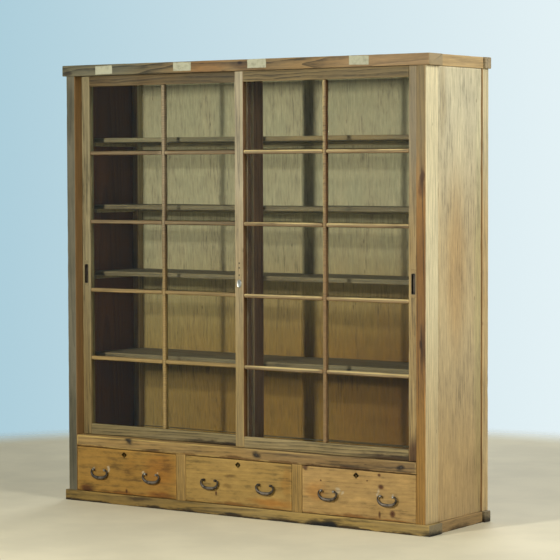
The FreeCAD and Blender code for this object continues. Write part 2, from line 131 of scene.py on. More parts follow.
class CabinetSizes(bpy.types.PropertyGroup):
    """Sizes of the small forms that dress the cabinet."""
    arris: length("Arris", "Rounding of the timber's long edges", 0.0018)
    thin_arris: length("Thin arris", "Rounding of the glazing bars' edges", 0.0042)
    dent: length("Dent", "Deepest dent along a worn edge", 0.0011)
    wear_band: length("Wear band", "Width of the rubbed band along an edge", 0.006)
    station: length("Station", "Distance between the rings of a long timber", 0.035)
    track_clearance: length("Track clearance", "Room beside a door's lip in its groove", 0.0004)
    lip_thickness: length("Lip thickness", "Thickness of the lips that run in the grooves", 0.014)
    foot_height: length("Foot height", "Height of a bail's foot, seen from the front", 0.0132)
    foot_depth: length("Foot depth", "Depth of a bail's foot, front to back", 0.0088)
    label_width: length("Label width", "Width of a paper label", 0.086)
    label_height: length("Label height", "Height of a paper label", 0.033)
    label_thickness: length("Label thickness", "Thickness of a paper label", 0.0004)
    nail_radius: length("Nail radius", "Radius of a nail head in the sill", 0.004)
    nail_rise: length("Nail rise", "How far a nail head stands proud", 0.0012)


class CabinetTints(bpy.types.PropertyGroup):
    """Middle colours of the finishes, each lightened and darkened by its grain."""
    grey_post: tint("Grey post", "Weathered left front post", (0.318, 0.302, 0.232))
    amber_post: tint("Amber post", "Front face of the right post", (0.545, 0.40, 0.21))
    sapwood: tint("Sapwood", "Pale outer face of the right post", (0.82, 0.78, 0.63))
    rail: tint("Rails", "Front rail of the cornice", (0.469, 0.381, 0.242))
    sill: tint("Sill", "Rail under the doors", (0.57, 0.46, 0.26))
    stile: tint("Stiles", "Outer stile of the left door", (0.51, 0.47, 0.34))
    door_rail: tint("Door rails", "Top rail of the left door", (0.363, 0.297, 0.182))
    bar: tint("Bars", "Glazing bars of the right door", (0.52, 0.44, 0.305))
    panel: tint("Panels", "Outside of the side panels", (0.74, 0.71, 0.59))
    drawer: tint("Drawers", "Front of the left drawer", (0.576, 0.435, 0.182))
    pale_drawer: tint("Pale drawer", "Front of the right drawer", (0.632, 0.512, 0.302))
    back: tint("Back", "Back boards", (0.749, 0.686, 0.534))
    inside: tint("Inside", "Stained inner faces", (0.422, 0.251, 0.135))
    shelf: tint("Shelves", "Shelves and the cabinet floor", (0.464, 0.392, 0.274))
    weather: tint("Weathering", "Grey of weathered patches", (0.39, 0.37, 0.30))
    iron: tint("Iron", "Forged iron of pulls and locks", (0.27, 0.24, 0.205))
    steel: tint("Steel", "Rubbed steel of the door lock", (0.62, 0.60, 0.56))
    paper: tint("Paper", "Blank labels", (0.69, 0.69, 0.585))
    glass: tint("Glass", "Old window glass", (0.93, 0.96, 0.94))
    floor: tint("Floor", "Floor of the stage", (0.86, 0.83, 0.71))
    cool_air: tint("Cool air", "Air behind the cabinet on the left", (0.68, 0.81, 0.86))
    warm_air: tint("Warm air", "Air behind the cabinet on the right", (0.89, 0.945, 0.96))


def linear(colour, gain=1.0):
    """A display colour as the light value that shaders take."""
    return tuple(min(1.0, gain * (c / 12.92 if c <= 0.04045 else ((c + 0.055) / 1.055) ** 2.4))
                 for c in colour)


def rgba(colour, gain=1.0):
    return linear(colour, gain) + (1.0,)


# Shader and geometry trees


class Tree:
    """A node tree that is built by short calls."""

    def __init__(self, tree):
        self.tree = tree

    def add(self, kind, inputs=None, **settings):
        node = self.tree.nodes.new(kind)
        for key, value in settings.items():
            setattr(node, key, value)
        for key, value in (inputs or {}).items():
            socket = node.inputs[key]
            if isinstance(value, bpy.types.NodeSocket):
                self.tree.links.new(value, socket)
            else:
                socket.default_value = value
        return node

    def math(self, work, a, b=0.0, clamp=False):
        return self.add("ShaderNodeMath", {0: a, 1: b}, operation=work, use_clamp=clamp).outputs[0]

    def vector(self, work, a, b=(0.0, 0.0, 0.0), c=None):
        inputs = {0: a, 1: b} if c is None else {0: a, 1: b, 2: c}
        node = self.add("ShaderNodeVectorMath", inputs, operation=work)
        return node.outputs["Value" if work in ("LENGTH", "DOT_PRODUCT") else "Vector"]

    def combine(self, x, y, z):
        return self.add("ShaderNodeCombineXYZ", {0: x, 1: y, 2: z}).outputs[0]

    def mix(self, amount, a, b, blend="MIX"):
        node = self.add("ShaderNodeMix", {0: amount, 6: a, 7: b}, data_type="RGBA", blend_type=blend)
        return node.outputs[2]

    def fit(self, value, low, high, to_low=0.0, to_high=1.0, kind="SMOOTHSTEP"):
        return self.add("ShaderNodeMapRange", {0: value, 1: low, 2: high, 3: to_low, 4: to_high},
                        interpolation_type=kind).outputs[0]

    def noise(self, place_at, scale=1.0, detail=3.0, rough=0.55, output="Fac"):
        return self.add("ShaderNodeTexNoise", {"Vector": place_at, "Scale": scale, "Detail": detail,
                                               "Roughness": rough}).outputs[output]

    def attribute(self, name, output="Fac"):
        return self.add("ShaderNodeAttribute", attribute_name=name).outputs[output]

    def bump(self, height, strength, distance):
        return self.add("ShaderNodeBump", {"Strength": strength, "Distance": distance,
                                           "Height": height}).outputs[0]

    def blend(self, amount, first, second):
        return self.add("ShaderNodeMixShader", {0: amount, 1: first.outputs[0], 2: second.outputs[0]})

    def link(self, a, b):
        self.tree.links.new(a, b)

    def show(self, shader, target="Material"):
        """Send a shader to the output of a material or a world."""
        self.link(shader.outputs[0], self.add("ShaderNodeOutput" + target).inputs[0])


def new_material(name):
    """An empty material, its tree and the coordinates of the piece that wears it."""
    material = bpy.data.materials.new(name)
    material.use_nodes = True
    material.node_tree.nodes.clear()
    t = Tree(material.node_tree)
    return material, t, t.add("ShaderNodeTexCoord").outputs["Object"]


def timber_figure():
    """Rings, streaks, fibres and flecks of aged timber, with pale abraded edges and grey patches; on glazing
    bars and one door stile the pale edges are partly a painted highlight.
    """
    group = bpy.data.node_groups.get("Aged timber")
    if group:
        return group
    group = bpy.data.node_groups.new("Aged timber", "ShaderNodeTree")
    for kind, labels in FIGURE_INPUTS.items():
        for label in labels:
            group.interface.new_socket(label, in_out="INPUT", socket_type="NodeSocket" + kind)
    for label, kind in (("Color", "Color"), ("Height", "Float"), ("Roughness", "Float")):
        group.interface.new_socket(label, in_out="OUTPUT", socket_type="NodeSocket" + kind)
    t = Tree(group)
    given = t.add("NodeGroupInput").outputs
    # Marks of each point: arris share, end share (end grain, and on glazing bars painted shade) and board
    # tone
    rubbed_and_lit, dirty, board = t.add("ShaderNodeSeparateXYZ", {0: t.attribute("timber", "Vector")}).outputs
    tone = t.math("ADD", board, t.attribute("row_tone"))
    spot = t.vector("ADD", given["Vector"], t.vector("MULTIPLY", t.combine(tone, tone, tone), TONE_SHIFT))
    wavy = t.vector("MULTIPLY", spot, t.combine(given["Waviness"], 1.0, 1.0))
    rings = t.add("ShaderNodeTexWave", {
        "Vector": wavy, "Scale": given["Rings"], "Distortion": given["Figure"], "Detail": 2.0,
        "Detail Scale": 0.28, "Detail Roughness": 0.5},
        wave_type="RINGS", rings_direction="X", wave_profile="SAW").outputs["Fac"]
    late = t.math("POWER", rings, 1.7)
    grain = {name: t.noise(t.vector("MULTIPLY", spot, (along, across, across)), detail=detail, rough=rough)
             for name, (along, across, detail, rough) in FIGURE_NOISE.items()}
    streaks, fibres, blotch = grain["streaks"], grain["fibres"], grain["blotch"]
    level = 0.5
    for value, centre, weight in ((late, 0.36, t.math("MULTIPLY", given["Ring Depth"], -1.0)),
                                  (streaks, 0.5, given["Streak"]), (fibres, 0.5, given["Fleck"]),
                                  (grain["dashes"], 0.5, given["Dash"]),
                                  (grain["mottle"], 0.5, given["Mottle"]),
                                  (tone, 0.5, 0.14), (blotch, 0.5, 0.7)):
        level = t.math("ADD", t.math("MULTIPLY", t.math("SUBTRACT", value, centre), weight), level)
    colour = t.mix(t.fit(level, 0.1, 0.52), given["Dark"], given["Middle"])
    colour = t.mix(t.fit(level, 0.48, 0.95), colour, given["Light"])
    shade = t.math("ADD", level, 0.5)
    shades = t.add("ShaderNodeCombineColor", {0: shade, 1: shade, 2: shade}).outputs[0]
    grey_grain = t.mix(1.0, given["Grey"], shades, "MULTIPLY")
    colour = t.mix(t.math("MULTIPLY", t.fit(blotch, 0.38, 0.64), given["Greyness"]), colour, grey_grain)
    # Pale arrises, partly a painted highlight on glazing bars and on one door stile
    rubbed_and_lit_share = t.math("MULTIPLY", rubbed_and_lit, t.fit(t.math("ADD", streaks, blotch), 0.75, 1.2))
    colour = t.mix(t.math("MULTIPLY", rubbed_and_lit_share, given["Wear"], clamp=True), colour, given["Worn"])
    speck_place = t.vector("MULTIPLY", spot, (8.0, 27.0, 27.0))
    cells = t.add("ShaderNodeTexVoronoi", {"Vector": speck_place, "Scale": 1.0})
    chosen = t.fit(t.add("ShaderNodeSeparateColor", {0: cells.outputs["Color"]}).outputs[0], 0.66, 0.68)
    specks = t.math("MULTIPLY", t.fit(cells.outputs["Distance"], 0.085, 0.045), chosen)
    colour = t.mix(t.math("MULTIPLY", specks, 0.6), colour, (0.22, 0.17, 0.13, 1.0), "MULTIPLY")
    # Darker end grain, and painted shade on the shaded sides of glazing bars
    colour = t.mix(dirty, colour, given["End And Shade"], "MULTIPLY")
    height = t.math("MULTIPLY", late, -0.2)
    for value, weight in ((fibres, 0.8), (streaks, 0.4), (specks, -0.5)):
        height = t.math("ADD", t.math("MULTIPLY", value, weight), height)
    shine = t.fit(t.math("ADD", streaks, fibres), 0.7, 1.3, 0.55, 0.8, "LINEAR")
    t.add("NodeGroupOutput", {"Color": colour, "Height": height, "Roughness": shine})
    return group


def along_grain(centre, grain):
    """A point in the axes of the figure, with its grain along X."""
    x, y, z = centre
    return {"X": (x, y, z), "Y": (y, -x, z), "Z": (z, y, -x)}[grain]


def timber(name, node, grain, seed, colour, pitch=0.009, heart=(0.05, 0.02), tilt=(0.02, 0.01), figure=3.0,
           ring_depth=0.3, contrast=1.0, fleck=1.3, streak=1.2, dash=0.3, mottle=0.0, waviness=0.06,
           greyness=0.25, wear_and_light=0.5, worn=None, grey=None, end_and_shade_tint=(0.79, 0.77, 0.75), layers=(), bump=0.3):
    """A timber finish around a middle colour; layers are local stains, knots, paint or heartwood, and on some
    pieces painted light and shade.
    """
    material, t, place_at = new_material(name)
    low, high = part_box(node)
    middle = along_grain((low + high) / 2, grain)
    turned = t.add("ShaderNodeMapping", {"Vector": place_at, "Rotation": GRAIN_TURN[grain],
                                         "Location": [-c for c in middle]}).outputs[0]
    tilted = t.add("ShaderNodeMapping", {"Vector": turned, "Rotation": (0.0, *tilt),
                                         "Location": (seed * SEED_SHIFT, -heart[0], -heart[1])}).outputs[0]
    grey = grey or bpy.context.scene.cabinet_tints.weather
    worn = worn or tuple(min(1.0, c * 1.2 + 0.03) for c in colour)
    figured = t.add("ShaderNodeGroup", node_tree=timber_figure(), inputs={
        "Vector": tilted, "Middle": rgba(colour), "Light": rgba(colour, 1.0 + LIGHT_GAIN * contrast),
        "Dark": rgba(colour, 1.0 - DARK_LOSS * contrast), "Grey": rgba(grey), "Worn": rgba(worn),
        "End And Shade": end_and_shade_tint + (1.0,), "Rings": RING_SCALE / pitch, "Figure": figure, "Ring Depth": ring_depth,
        "Greyness": greyness, "Wear": wear_and_light, "Fleck": fleck, "Streak": streak, "Waviness": waviness,
        "Dash": dash, "Mottle": mottle}).outputs
    shown = layered(t, layers, figured, place_at, turned) if layers else figured["Color"]
    t.show(t.add("ShaderNodeBsdfPrincipled", {
        "Base Color": shown, "Roughness": figured["Roughness"], "Specular IOR Level": 0.3,
        "Normal": t.bump(figured["Height"], bump, 0.0006)}))
    return material


def layered(t, layers, figured, place_at, turned):
    """The colour of a figured timber under its layers, from the first to the last."""
    ragged = t.noise(t.vector("MULTIPLY", turned, (0.35, 1.0, 1.0)), 22.0, 4.0, 0.65, "Color")
    shift = t.vector("SUBTRACT", ragged, (0.5, 0.5, 0.5))
    warped = t.vector("MULTIPLY_ADD", shift, (0.05, 0.05, 0.05), place_at)
    shown = figured["Color"]
    for kind, centre, reach, colour, strength in layers:
        source = place_at if kind in CLEAN_LAYERS else warped
        if reach is None:
            axis, start, stop = centre
            value = t.add("ShaderNodeSeparateXYZ", {0: source}).outputs[axis]
            mask = t.fit(value, start, stop, kind="LINEAR" if kind == "skin" else "SMOOTHSTEP")
        else:
            inverse = tuple(1.0 / r for r in reach)
            offset = tuple(-c / r for c, r in zip(centre, reach))
            far = t.vector("LENGTH", t.vector("MULTIPLY_ADD", source, inverse, offset))
            mask = t.fit(far, 1.0, 0.25)
        mask = t.math("MULTIPLY", mask, strength)
        if kind in ("skin", "wash"):
            grained = t.mix(t.fit(figured["Height"], 0.22, 0.82), rgba(colour, 0.6), rgba(colour, 1.27))
            shown = t.mix(mask, shown, grained)
        elif kind == "paint":
            shown = t.mix(mask, shown, rgba(colour))
        else:
            shown = t.mix(mask, shown, rgba(colour), "MULTIPLY")
        if kind == "knot":
            ring = t.fit(t.math("PINGPONG", t.math("MULTIPLY", far, 3.0), 0.5), 0.0, 0.5)
            shown = t.mix(t.math("MULTIPLY", ring, mask), shown, (0.35, 0.26, 0.2, 1.0), "MULTIPLY")
    return shown


# Layers of a timber finish, each as its kind, place, reach, colour and strength


def fade(start, stop, colour, strength):
    """A colour that deepens from one height to another."""
    return "fade", (2, start, stop), None, colour, strength


def skin(node, face, colour, strength, start=0.0016, full=0.0006):
    """A colour on one face of a CAD node, such as x0 or y1, from a depth under that face; on the centre post
    and the left meeting stile it is painted light.
    """
    axis, end = "xyz".index(face[0]), int(face[1])
    place_at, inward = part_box(node)[end][axis], 1 - 2 * end
    return "skin", (axis, place_at + inward * start, place_at + inward * full), None, colour, strength


def on_front(node, deep):
    """A maker of spots on the front of a CAD node, from their place and reach in x and z."""
    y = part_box(node)[0].y

    def spot(kind, x, z, wide, tall, colour, strength, deep=deep):
        return kind, (x, y, z), (wide, deep, tall), colour, strength
    return spot


# Metal, glass and paper


def metal(name, colour, shine=(0.35, 0.6), rubbed_and_lit=0.5, metallic=0.85, grain=60.0):
    """Iron or steel with a hammered skin, brighter where the pale share is set: on a bail's foot partly hand
    polish, partly a painted highlight.
    """
    material, t, place_at = new_material(name)
    scale = t.noise(place_at, scale=grain, detail=4.0, rough=0.6)
    hammer = t.add("ShaderNodeTexVoronoi", {"Vector": place_at, "Scale": grain * 3.0}).outputs["Distance"]
    base = t.mix(t.fit(scale, 0.35, 0.65), rgba(colour, 0.55), rgba(colour, 1.25))
    rubbed_and_lit_share = t.math("MULTIPLY", t.math("MULTIPLY", t.attribute("rubbed_and_lit"), rubbed_and_lit), t.fit(scale, 0.3, 0.6))
    base = t.mix(rubbed_and_lit_share, base, rgba(colour, 3.2))
    height = t.math("ADD", t.math("MULTIPLY", hammer, 0.7), scale)
    t.show(t.add("ShaderNodeBsdfPrincipled", {
        "Base Color": base, "Roughness": t.fit(scale, 0.3, 0.7, *shine, "LINEAR"), "Metallic": metallic,
        "Normal": t.bump(height, 0.35, 0.0008)}))
    return material


def iron_finish(pale=False):
    """Dark forged iron, or the pale iron of some eye posts."""
    name = "pale_iron" if pale else "forged_iron"
    found = bpy.data.materials.get(name)
    if found:
        return found
    if pale:
        return metal(name, (0.60, 0.57, 0.52), shine=(0.3, 0.5), rubbed_and_lit=0.0)
    return metal(name, bpy.context.scene.cabinet_tints.iron, shine=(0.38, 0.62), rubbed_and_lit=0.8)


def old_glass():
    """Clear, slightly wavy glass that lets the lamps through."""
    material, t, place_at = new_material("old_glass")
    waves = t.noise(place_at, scale=9.0, detail=1.0)
    pane = t.add("ShaderNodeBsdfPrincipled", {
        "Base Color": rgba(bpy.context.scene.cabinet_tints.glass), "Roughness": 0.02, "IOR": 1.2,
        "Transmission Weight": 1.0, "Normal": t.bump(waves, 0.06, 0.002)})
    clear = t.add("ShaderNodeBsdfTransparent", {0: (0.94, 0.96, 0.95, 1.0)})
    path = t.add("ShaderNodeLightPath").outputs
    t.show(t.blend(t.math("MAXIMUM", path["Is Shadow Ray"], path["Is Diffuse Ray"]), pane, clear))
    return material


def label_paper():
    """Yellowed paper with faint foxing."""
    material, t, place_at = new_material("label_paper")
    colour = bpy.context.scene.cabinet_tints.paper
    foxing = t.noise(place_at, scale=45.0, detail=4.0, rough=0.7)
    fibre = t.noise(place_at, scale=900.0, detail=2.0)
    base = t.mix(t.fit(foxing, 0.45, 0.72), rgba(colour), rgba(colour, 0.62))
    base = t.mix(t.fit(fibre, 0.4, 0.7, 0.0, 0.25), base, rgba(colour, 0.8))
    t.show(t.add("ShaderNodeBsdfPrincipled", {"Base Color": base, "Roughness": 0.85,
                                              "Normal": t.bump(fibre, 0.2, 0.0002)}))
    return material


# Timber finishes


def left_post_finish(tints):
    """Grey weathered timber, brown on its inner face and paler outside."""
    node = "front_post_left"
    return timber("grey_post", node, "Z", 3.0, tints.grey_post, greyness=0.75, contrast=0.6, streak=0.9,
                  layers=[
        skin(node, "x1", (0.49, 0.365, 0.20), 0.9, 0.0020, 0.0005),
        skin(node, "x0", (0.66, 0.59, 0.45), 0.9)])


def right_post_finish(tints):
    """Amber timber, greyer at the top, with a pale outer face."""
    node = "front_post_right"
    spot = on_front(node, 0.10)
    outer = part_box(node)[1].x
    return timber("amber_post", node, "Z", 11.0, tints.amber_post, pitch=0.011, heart=(-0.01, 0.03),
                  figure=5.0, ring_depth=0.5, greyness=0.15, layers=[
        spot("wash", 0.829, 1.60, 0.10, 0.42, (0.50, 0.455, 0.33), 0.75),
        spot("stain", 0.829, 0.88, 0.10, 0.42, (0.83, 0.81, 0.79), 0.9),
        spot("wash", 0.829, 0.16, 0.10, 0.46, (0.575, 0.435, 0.19), 0.65),
        spot("stain", 0.829, 1.320, 0.014, 0.05, (0.55, 0.44, 0.36), 0.9, deep=0.03),
        spot("stain", 0.829, 1.275, 0.020, 0.05, (0.68, 0.58, 0.50), 0.7, deep=0.03),
        spot("stain", 0.836, 0.700, 0.02, 0.12, (0.55, 0.48, 0.45), 0.8, deep=0.03),
        spot("stain", 0.822, 0.706, 0.012, 0.03, (0.50, 0.40, 0.33), 0.9, deep=0.02),
        skin(node, "x1", tints.sapwood, 0.95),
        ("shade", (outer + 0.002, -0.17, 0.0), (0.006, 0.3, 1.05), (0.89, 0.825, 0.745), 1.0)])


def rear_post_finish():
    """Pale timber, greyer at the top, with browner front faces."""
    node = "rear_post_right"
    return timber("rear_post", node, "Z", 7.0, (0.71, 0.61, 0.43), greyness=0.35, grey=(0.62, 0.58, 0.46),
                  layers=[
        *(("wash", (x, 0.21, 1.70), (0.2, 0.3, 0.7), (0.75, 0.71, 0.57), 0.8) for x in (0.85, -0.85)),
        skin(node, "y0", (0.56, 0.43, 0.27), 0.9, 0.0022, 0.0012)])


def panel_finish(side, sign, tints):
    """A pale outside that darkens and browns downward, partly painted shade, and a dark stained inside."""
    node = "side_panel_" + side
    face = sign * 0.8485
    return timber("panel_" + side, node, "Z", 5.0 + sign, tints.panel, pitch=0.012, heart=(0.03, 0.16),
                  ring_depth=0.06, contrast=0.8, fleck=1.5, streak=0.6, dash=0.5, greyness=0.4,
                  grey=(0.73, 0.70, 0.57), layers=[
        # Painted shade, partly a browner tone: the outside grows darker from the top down
        fade(1.62, 1.0, (0.94, 0.885, 0.82), 1.0),
        fade(0.75, 0.15, (0.94, 0.89, 0.82), 1.0),
        ("stain", (face, 0.0, 0.98), (0.05, 0.10, 0.45), (0.95, 0.89, 0.82), 0.8),
        ("stain", (face, 0.17, 0.75), (0.05, 0.05, 1.1), (0.93, 0.96, 0.92), 0.8),
        ("stain", (face, -0.1, 1.62), (0.05, 0.04, 0.25), (0.88, 0.84, 0.78), 0.6),
        skin(node, "x1" if sign < 0 else "x0", tints.inside, 1.0, 0.007, 0.001)])


def cornice_finish(tints):
    """Boldly ringed timber, blue-grey at the left and paler at the right."""
    node = "cornice_front_rail"
    spot = on_front(node, 0.1)
    return timber("cornice", node, "X", 2.0, tints.rail, figure=9.0, ring_depth=0.6, waviness=0.3,
                  contrast=1.2, greyness=0.3, layers=[
        spot("stain", -0.75, 1.75, 0.65, 0.2, (0.75, 0.865, 1.0), 0.95, deep=0.2),
        spot("wash", 0.70, 1.75, 0.40, 0.2, (0.63, 0.52, 0.37), 0.6, deep=0.2),
        spot("stain", -0.15, 1.75, 0.18, 0.05, (0.98, 0.88, 0.80), 0.7),
        spot("stain", -0.84, 1.735, 0.03, 0.02, (0.55, 0.48, 0.44), 0.8),
        spot("stain", 0.05, 1.745, 0.12, 0.03, (0.55, 0.42, 0.36), 0.6),
        spot("knot", 0.02, 1.757, 0.018, 0.008, (0.42, 0.30, 0.24), 0.9, deep=0.03),
        ("paint", (0.866, -0.17, 1.75), (0.004, 0.2, 0.1), (0.60, 0.54, 0.41), 0.8)])


def plinth_finish(darkening):
    """Yellowed timber with a dirty lower edge and dark scorches."""
    node = "plinth_front_rail"
    spot = on_front(node, 0.06)
    scorch = (0.17, 0.16, 0.16)
    return timber("plinth", node, "X", 21.0, (0.596, 0.498, 0.270), greyness=0.3, figure=5.0, layers=[
        spot("stain", -0.6, 0.02, 0.85, 0.3, (0.833, 0.811, 0.755), 0.95, deep=0.3),
        fade(0.012, 0.001, darkening, 0.95),
        spot("stain", 0.40, 0.006, 0.11, 0.024, scorch, 1.0),
        spot("stain", 0.42, 0.004, 0.05, 0.034, scorch, 1.0),
        spot("stain", -0.48, 0.030, 0.10, 0.016, (0.48, 0.44, 0.42), 0.8, deep=0.05),
        ("paint", (0.866, -0.17, 0.02), (0.005, 0.2, 0.1), (0.45, 0.42, 0.34), 0.75),
        ("stain", (0.866, -0.19, 0.0), (0.05, 0.12, 0.026), (0.24, 0.23, 0.22), 1.0)])


def sill_finish(tints):
    """Worn timber, cooler at the right, with an iron stain round each nail."""
    spot = on_front("sill_rail", 0.2)
    return timber("sill", "sill_rail", "X", 29.0, tints.sill, greyness=0.2, wear_and_light=0.95,
                  worn=(0.73, 0.62, 0.36), layers=[
        spot("stain", 0.55, 0.245, 0.75, 0.1, (0.86, 0.86, 0.94), 0.95),
        fade(0.234, 0.226, (0.62, 0.52, 0.45), 0.8),
        *(spot("stain", x, z, 0.026, 0.019, (0.26, 0.27, 0.31), 0.95, deep=0.04) for x, z in SILL_NAILS)])


def back_finish(tints):
    """Pale flecked boards that yellow downward, brown on their outside."""
    return timber("back_board", "back_boards", "Z", 37.0, tints.back, ring_depth=0.04, contrast=0.8,
                  fleck=1.0, streak=0.4, dash=0.9, mottle=0.4, greyness=0.3, grey=(0.58, 0.58, 0.46),
                  bump=0.2, layers=[
        ("stain", (0.3, 0.22, 0.25), (1.9, 0.4, 1.05), (0.84, 0.71, 0.47), 0.95),
        fade(1.10, 0.55, (0.93, 0.87, 0.68), 0.95),
        ("stain", (0.75, 0.22, 0.35), (0.75, 0.4, 0.85), (0.81, 0.72, 0.51), 0.9),
        skin("back_boards", "y1", (0.53, 0.46, 0.34), 1.0, 0.005, 0.002)])


def shelf_finish(tints):
    """Bare shelves; the front edge of the top one is paler."""
    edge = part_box("shelf_1")[0]
    return timber("shelf", "shelf_1", "X", 43.0, tints.shelf, greyness=0.35, wear_and_light=0.7, layers=[
        ("wash", (0.45, edge.y, edge.z), (0.6, 0.1, 0.05), (0.55, 0.45, 0.29), 0.8),
        ("wash", (-0.45, edge.y, edge.z), (0.6, 0.1, 0.05), (0.50, 0.45, 0.33), 0.6)])


def stile_finishes(tints):
    """Each stile of the doors has weathered in its own way; the left meeting stile also carries painted
    light.
    """
    left_meeting, right_meeting = ("door_%s_meeting_stile" % side for side in SIDES)
    middle, outer = on_front(right_meeting, 0.1), on_front("door_right_outer_stile", 0.1)
    # Colour of three small holes painted as dark spots: painted shade in the holes
    painted_hole_shade = (0.05, 0.04, 0.035)
    return {
        ("left", "outer"): timber("stile_khaki", "door_left_outer_stile", "Z", 59.0, tints.stile,
                                  greyness=0.25, layers=[fade(1.05, 0.45, (0.93, 0.87, 0.76), 1.0)]),
        # The left meeting stile stands in shade: its pale arrises are partly a painted highlight, and its
        # right face is lightened as painted light
        ("left", "meeting"): timber("stile_left", left_meeting, "Z", 61.0, (0.40, 0.33, 0.22), greyness=0.2,
                                    wear_and_light=2.5, worn=(0.74, 0.66, 0.54), layers=[
            skin(left_meeting, "x1", (0.44, 0.31, 0.215), 0.9, 0.0007, 0.0001)]),
        ("right", "meeting"): timber("stile_grey", right_meeting, "Z", 67.0, (0.61, 0.55, 0.42),
                                     greyness=0.45, grey=(0.57, 0.55, 0.48), layers=[
            fade(1.15, 0.55, (0.873, 0.819, 0.677), 1.0),
            middle("wash", 0.0, 1.55, 0.1, 0.5, (0.64, 0.61, 0.51), 0.5),
            skin(right_meeting, "x1", (0.44, 0.295, 0.165), 0.9, 0.0012, 0.0004),
            *(middle("paint", 0.0, z, 0.0045, 0.0054, painted_hole_shade, 1.0, deep=0.01) for z in (0.986, 0.968, 0.940))]),
        ("right", "outer"): timber("stile_right", "door_right_outer_stile", "Z", 71.0, (0.61, 0.52, 0.34),
                                   greyness=0.3, grey=(0.52, 0.48, 0.39), layers=[
            outer("stain", 0.79, 0.29, 0.06, 0.10, (0.52, 0.40, 0.32), 0.9),
            outer("wash", 0.79, 1.55, 0.06, 0.5, (0.53, 0.50, 0.42), 0.7)]),
    }


def door_rail_finishes(tints):
    """Rails with bold rings; the lower ones are dirty along the sill."""
    left, right = (on_front("door_%s_bottom_rail" % side, 0.1) for side in SIDES)
    return {
        ("left", "top"): timber("top_rail_left", "door_left_top_rail", "X", 73.0, tints.door_rail,
                                heart=(0.02, 0.0), pitch=0.010, figure=9.0, ring_depth=0.55, waviness=0.3,
                                tilt=(0.03, 0.02), greyness=0.3, layers=[
            ("stain", (-0.15, -0.17, 1.70), (0.3, 0.1, 0.1), (0.88, 0.92, 0.98), 0.8)]),
        ("right", "top"): timber("top_rail_right", "door_right_top_rail", "X", 79.0, (0.435, 0.375, 0.245),
                                 heart=(0.015, 0.004), pitch=0.011, figure=10.0, ring_depth=0.6,
                                 waviness=0.35, tilt=(0.03, 0.02), greyness=0.15),
        ("left", "bottom"): timber("low_rail_left", "door_left_bottom_rail", "X", 83.0, (0.475, 0.42, 0.275),
                                   heart=(0.02, 0.005), pitch=0.010, figure=8.0, ring_depth=0.5, waviness=0.2,
                                   layers=[
            left("stain", -0.12, 0.272, 0.30, 0.016, (0.40, 0.31, 0.26), 0.9)]),
        ("right", "bottom"): timber("low_rail_right", "door_right_bottom_rail", "X", 89.0,
                                    (0.53, 0.465, 0.31), heart=(0.02, 0.0), pitch=0.011, figure=8.0,
                                    ring_depth=0.5, waviness=0.25, layers=[
            right("stain", 0.70, 0.275, 0.22, 0.022, (0.42, 0.32, 0.27), 0.9)]),
    }


def bar_finishes(tints):
    """Glazing bars with painted shade on their shaded sides, partly their own darker wood, pale arrises that
    are partly a painted highlight, and an upright of another tone.
    """
    # Tint of the end grain, and of the painted shade on the bars' shaded sides
    end_and_shade_tint = (0.45, 0.27, 0.16)
    left, right = (sum(c.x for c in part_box("door_%s_glazing_bars" % side)) / 2 for side in SIDES)
    return {
        "left": timber("bar_left", "door_left_glazing_bars", "X", 97.0, (0.445, 0.38, 0.272), greyness=0.3,
                       wear_and_light=1.1, worn=(0.46, 0.38, 0.245), end_and_shade_tint=end_and_shade_tint, layers=[
            ("wash", (-0.4, -0.17, 0.45), (1.2, 0.3, 0.75), (0.60, 0.505, 0.31), 0.85),
            ("wash", (left, -0.17, 1.6), (0.035, 0.3, 0.75), (0.62, 0.565, 0.445), 0.55)]),
        "right": timber("bar_right", "door_right_glazing_bars", "X", 101.0, tints.bar, greyness=0.3, wear_and_light=1.6,
                        worn=(0.78, 0.70, 0.48), end_and_shade_tint=end_and_shade_tint, layers=[
            ("wash", (right, -0.2, 0.6), (0.035, 0.3, 0.95), (0.50, 0.395, 0.26), 0.85)]),
    }


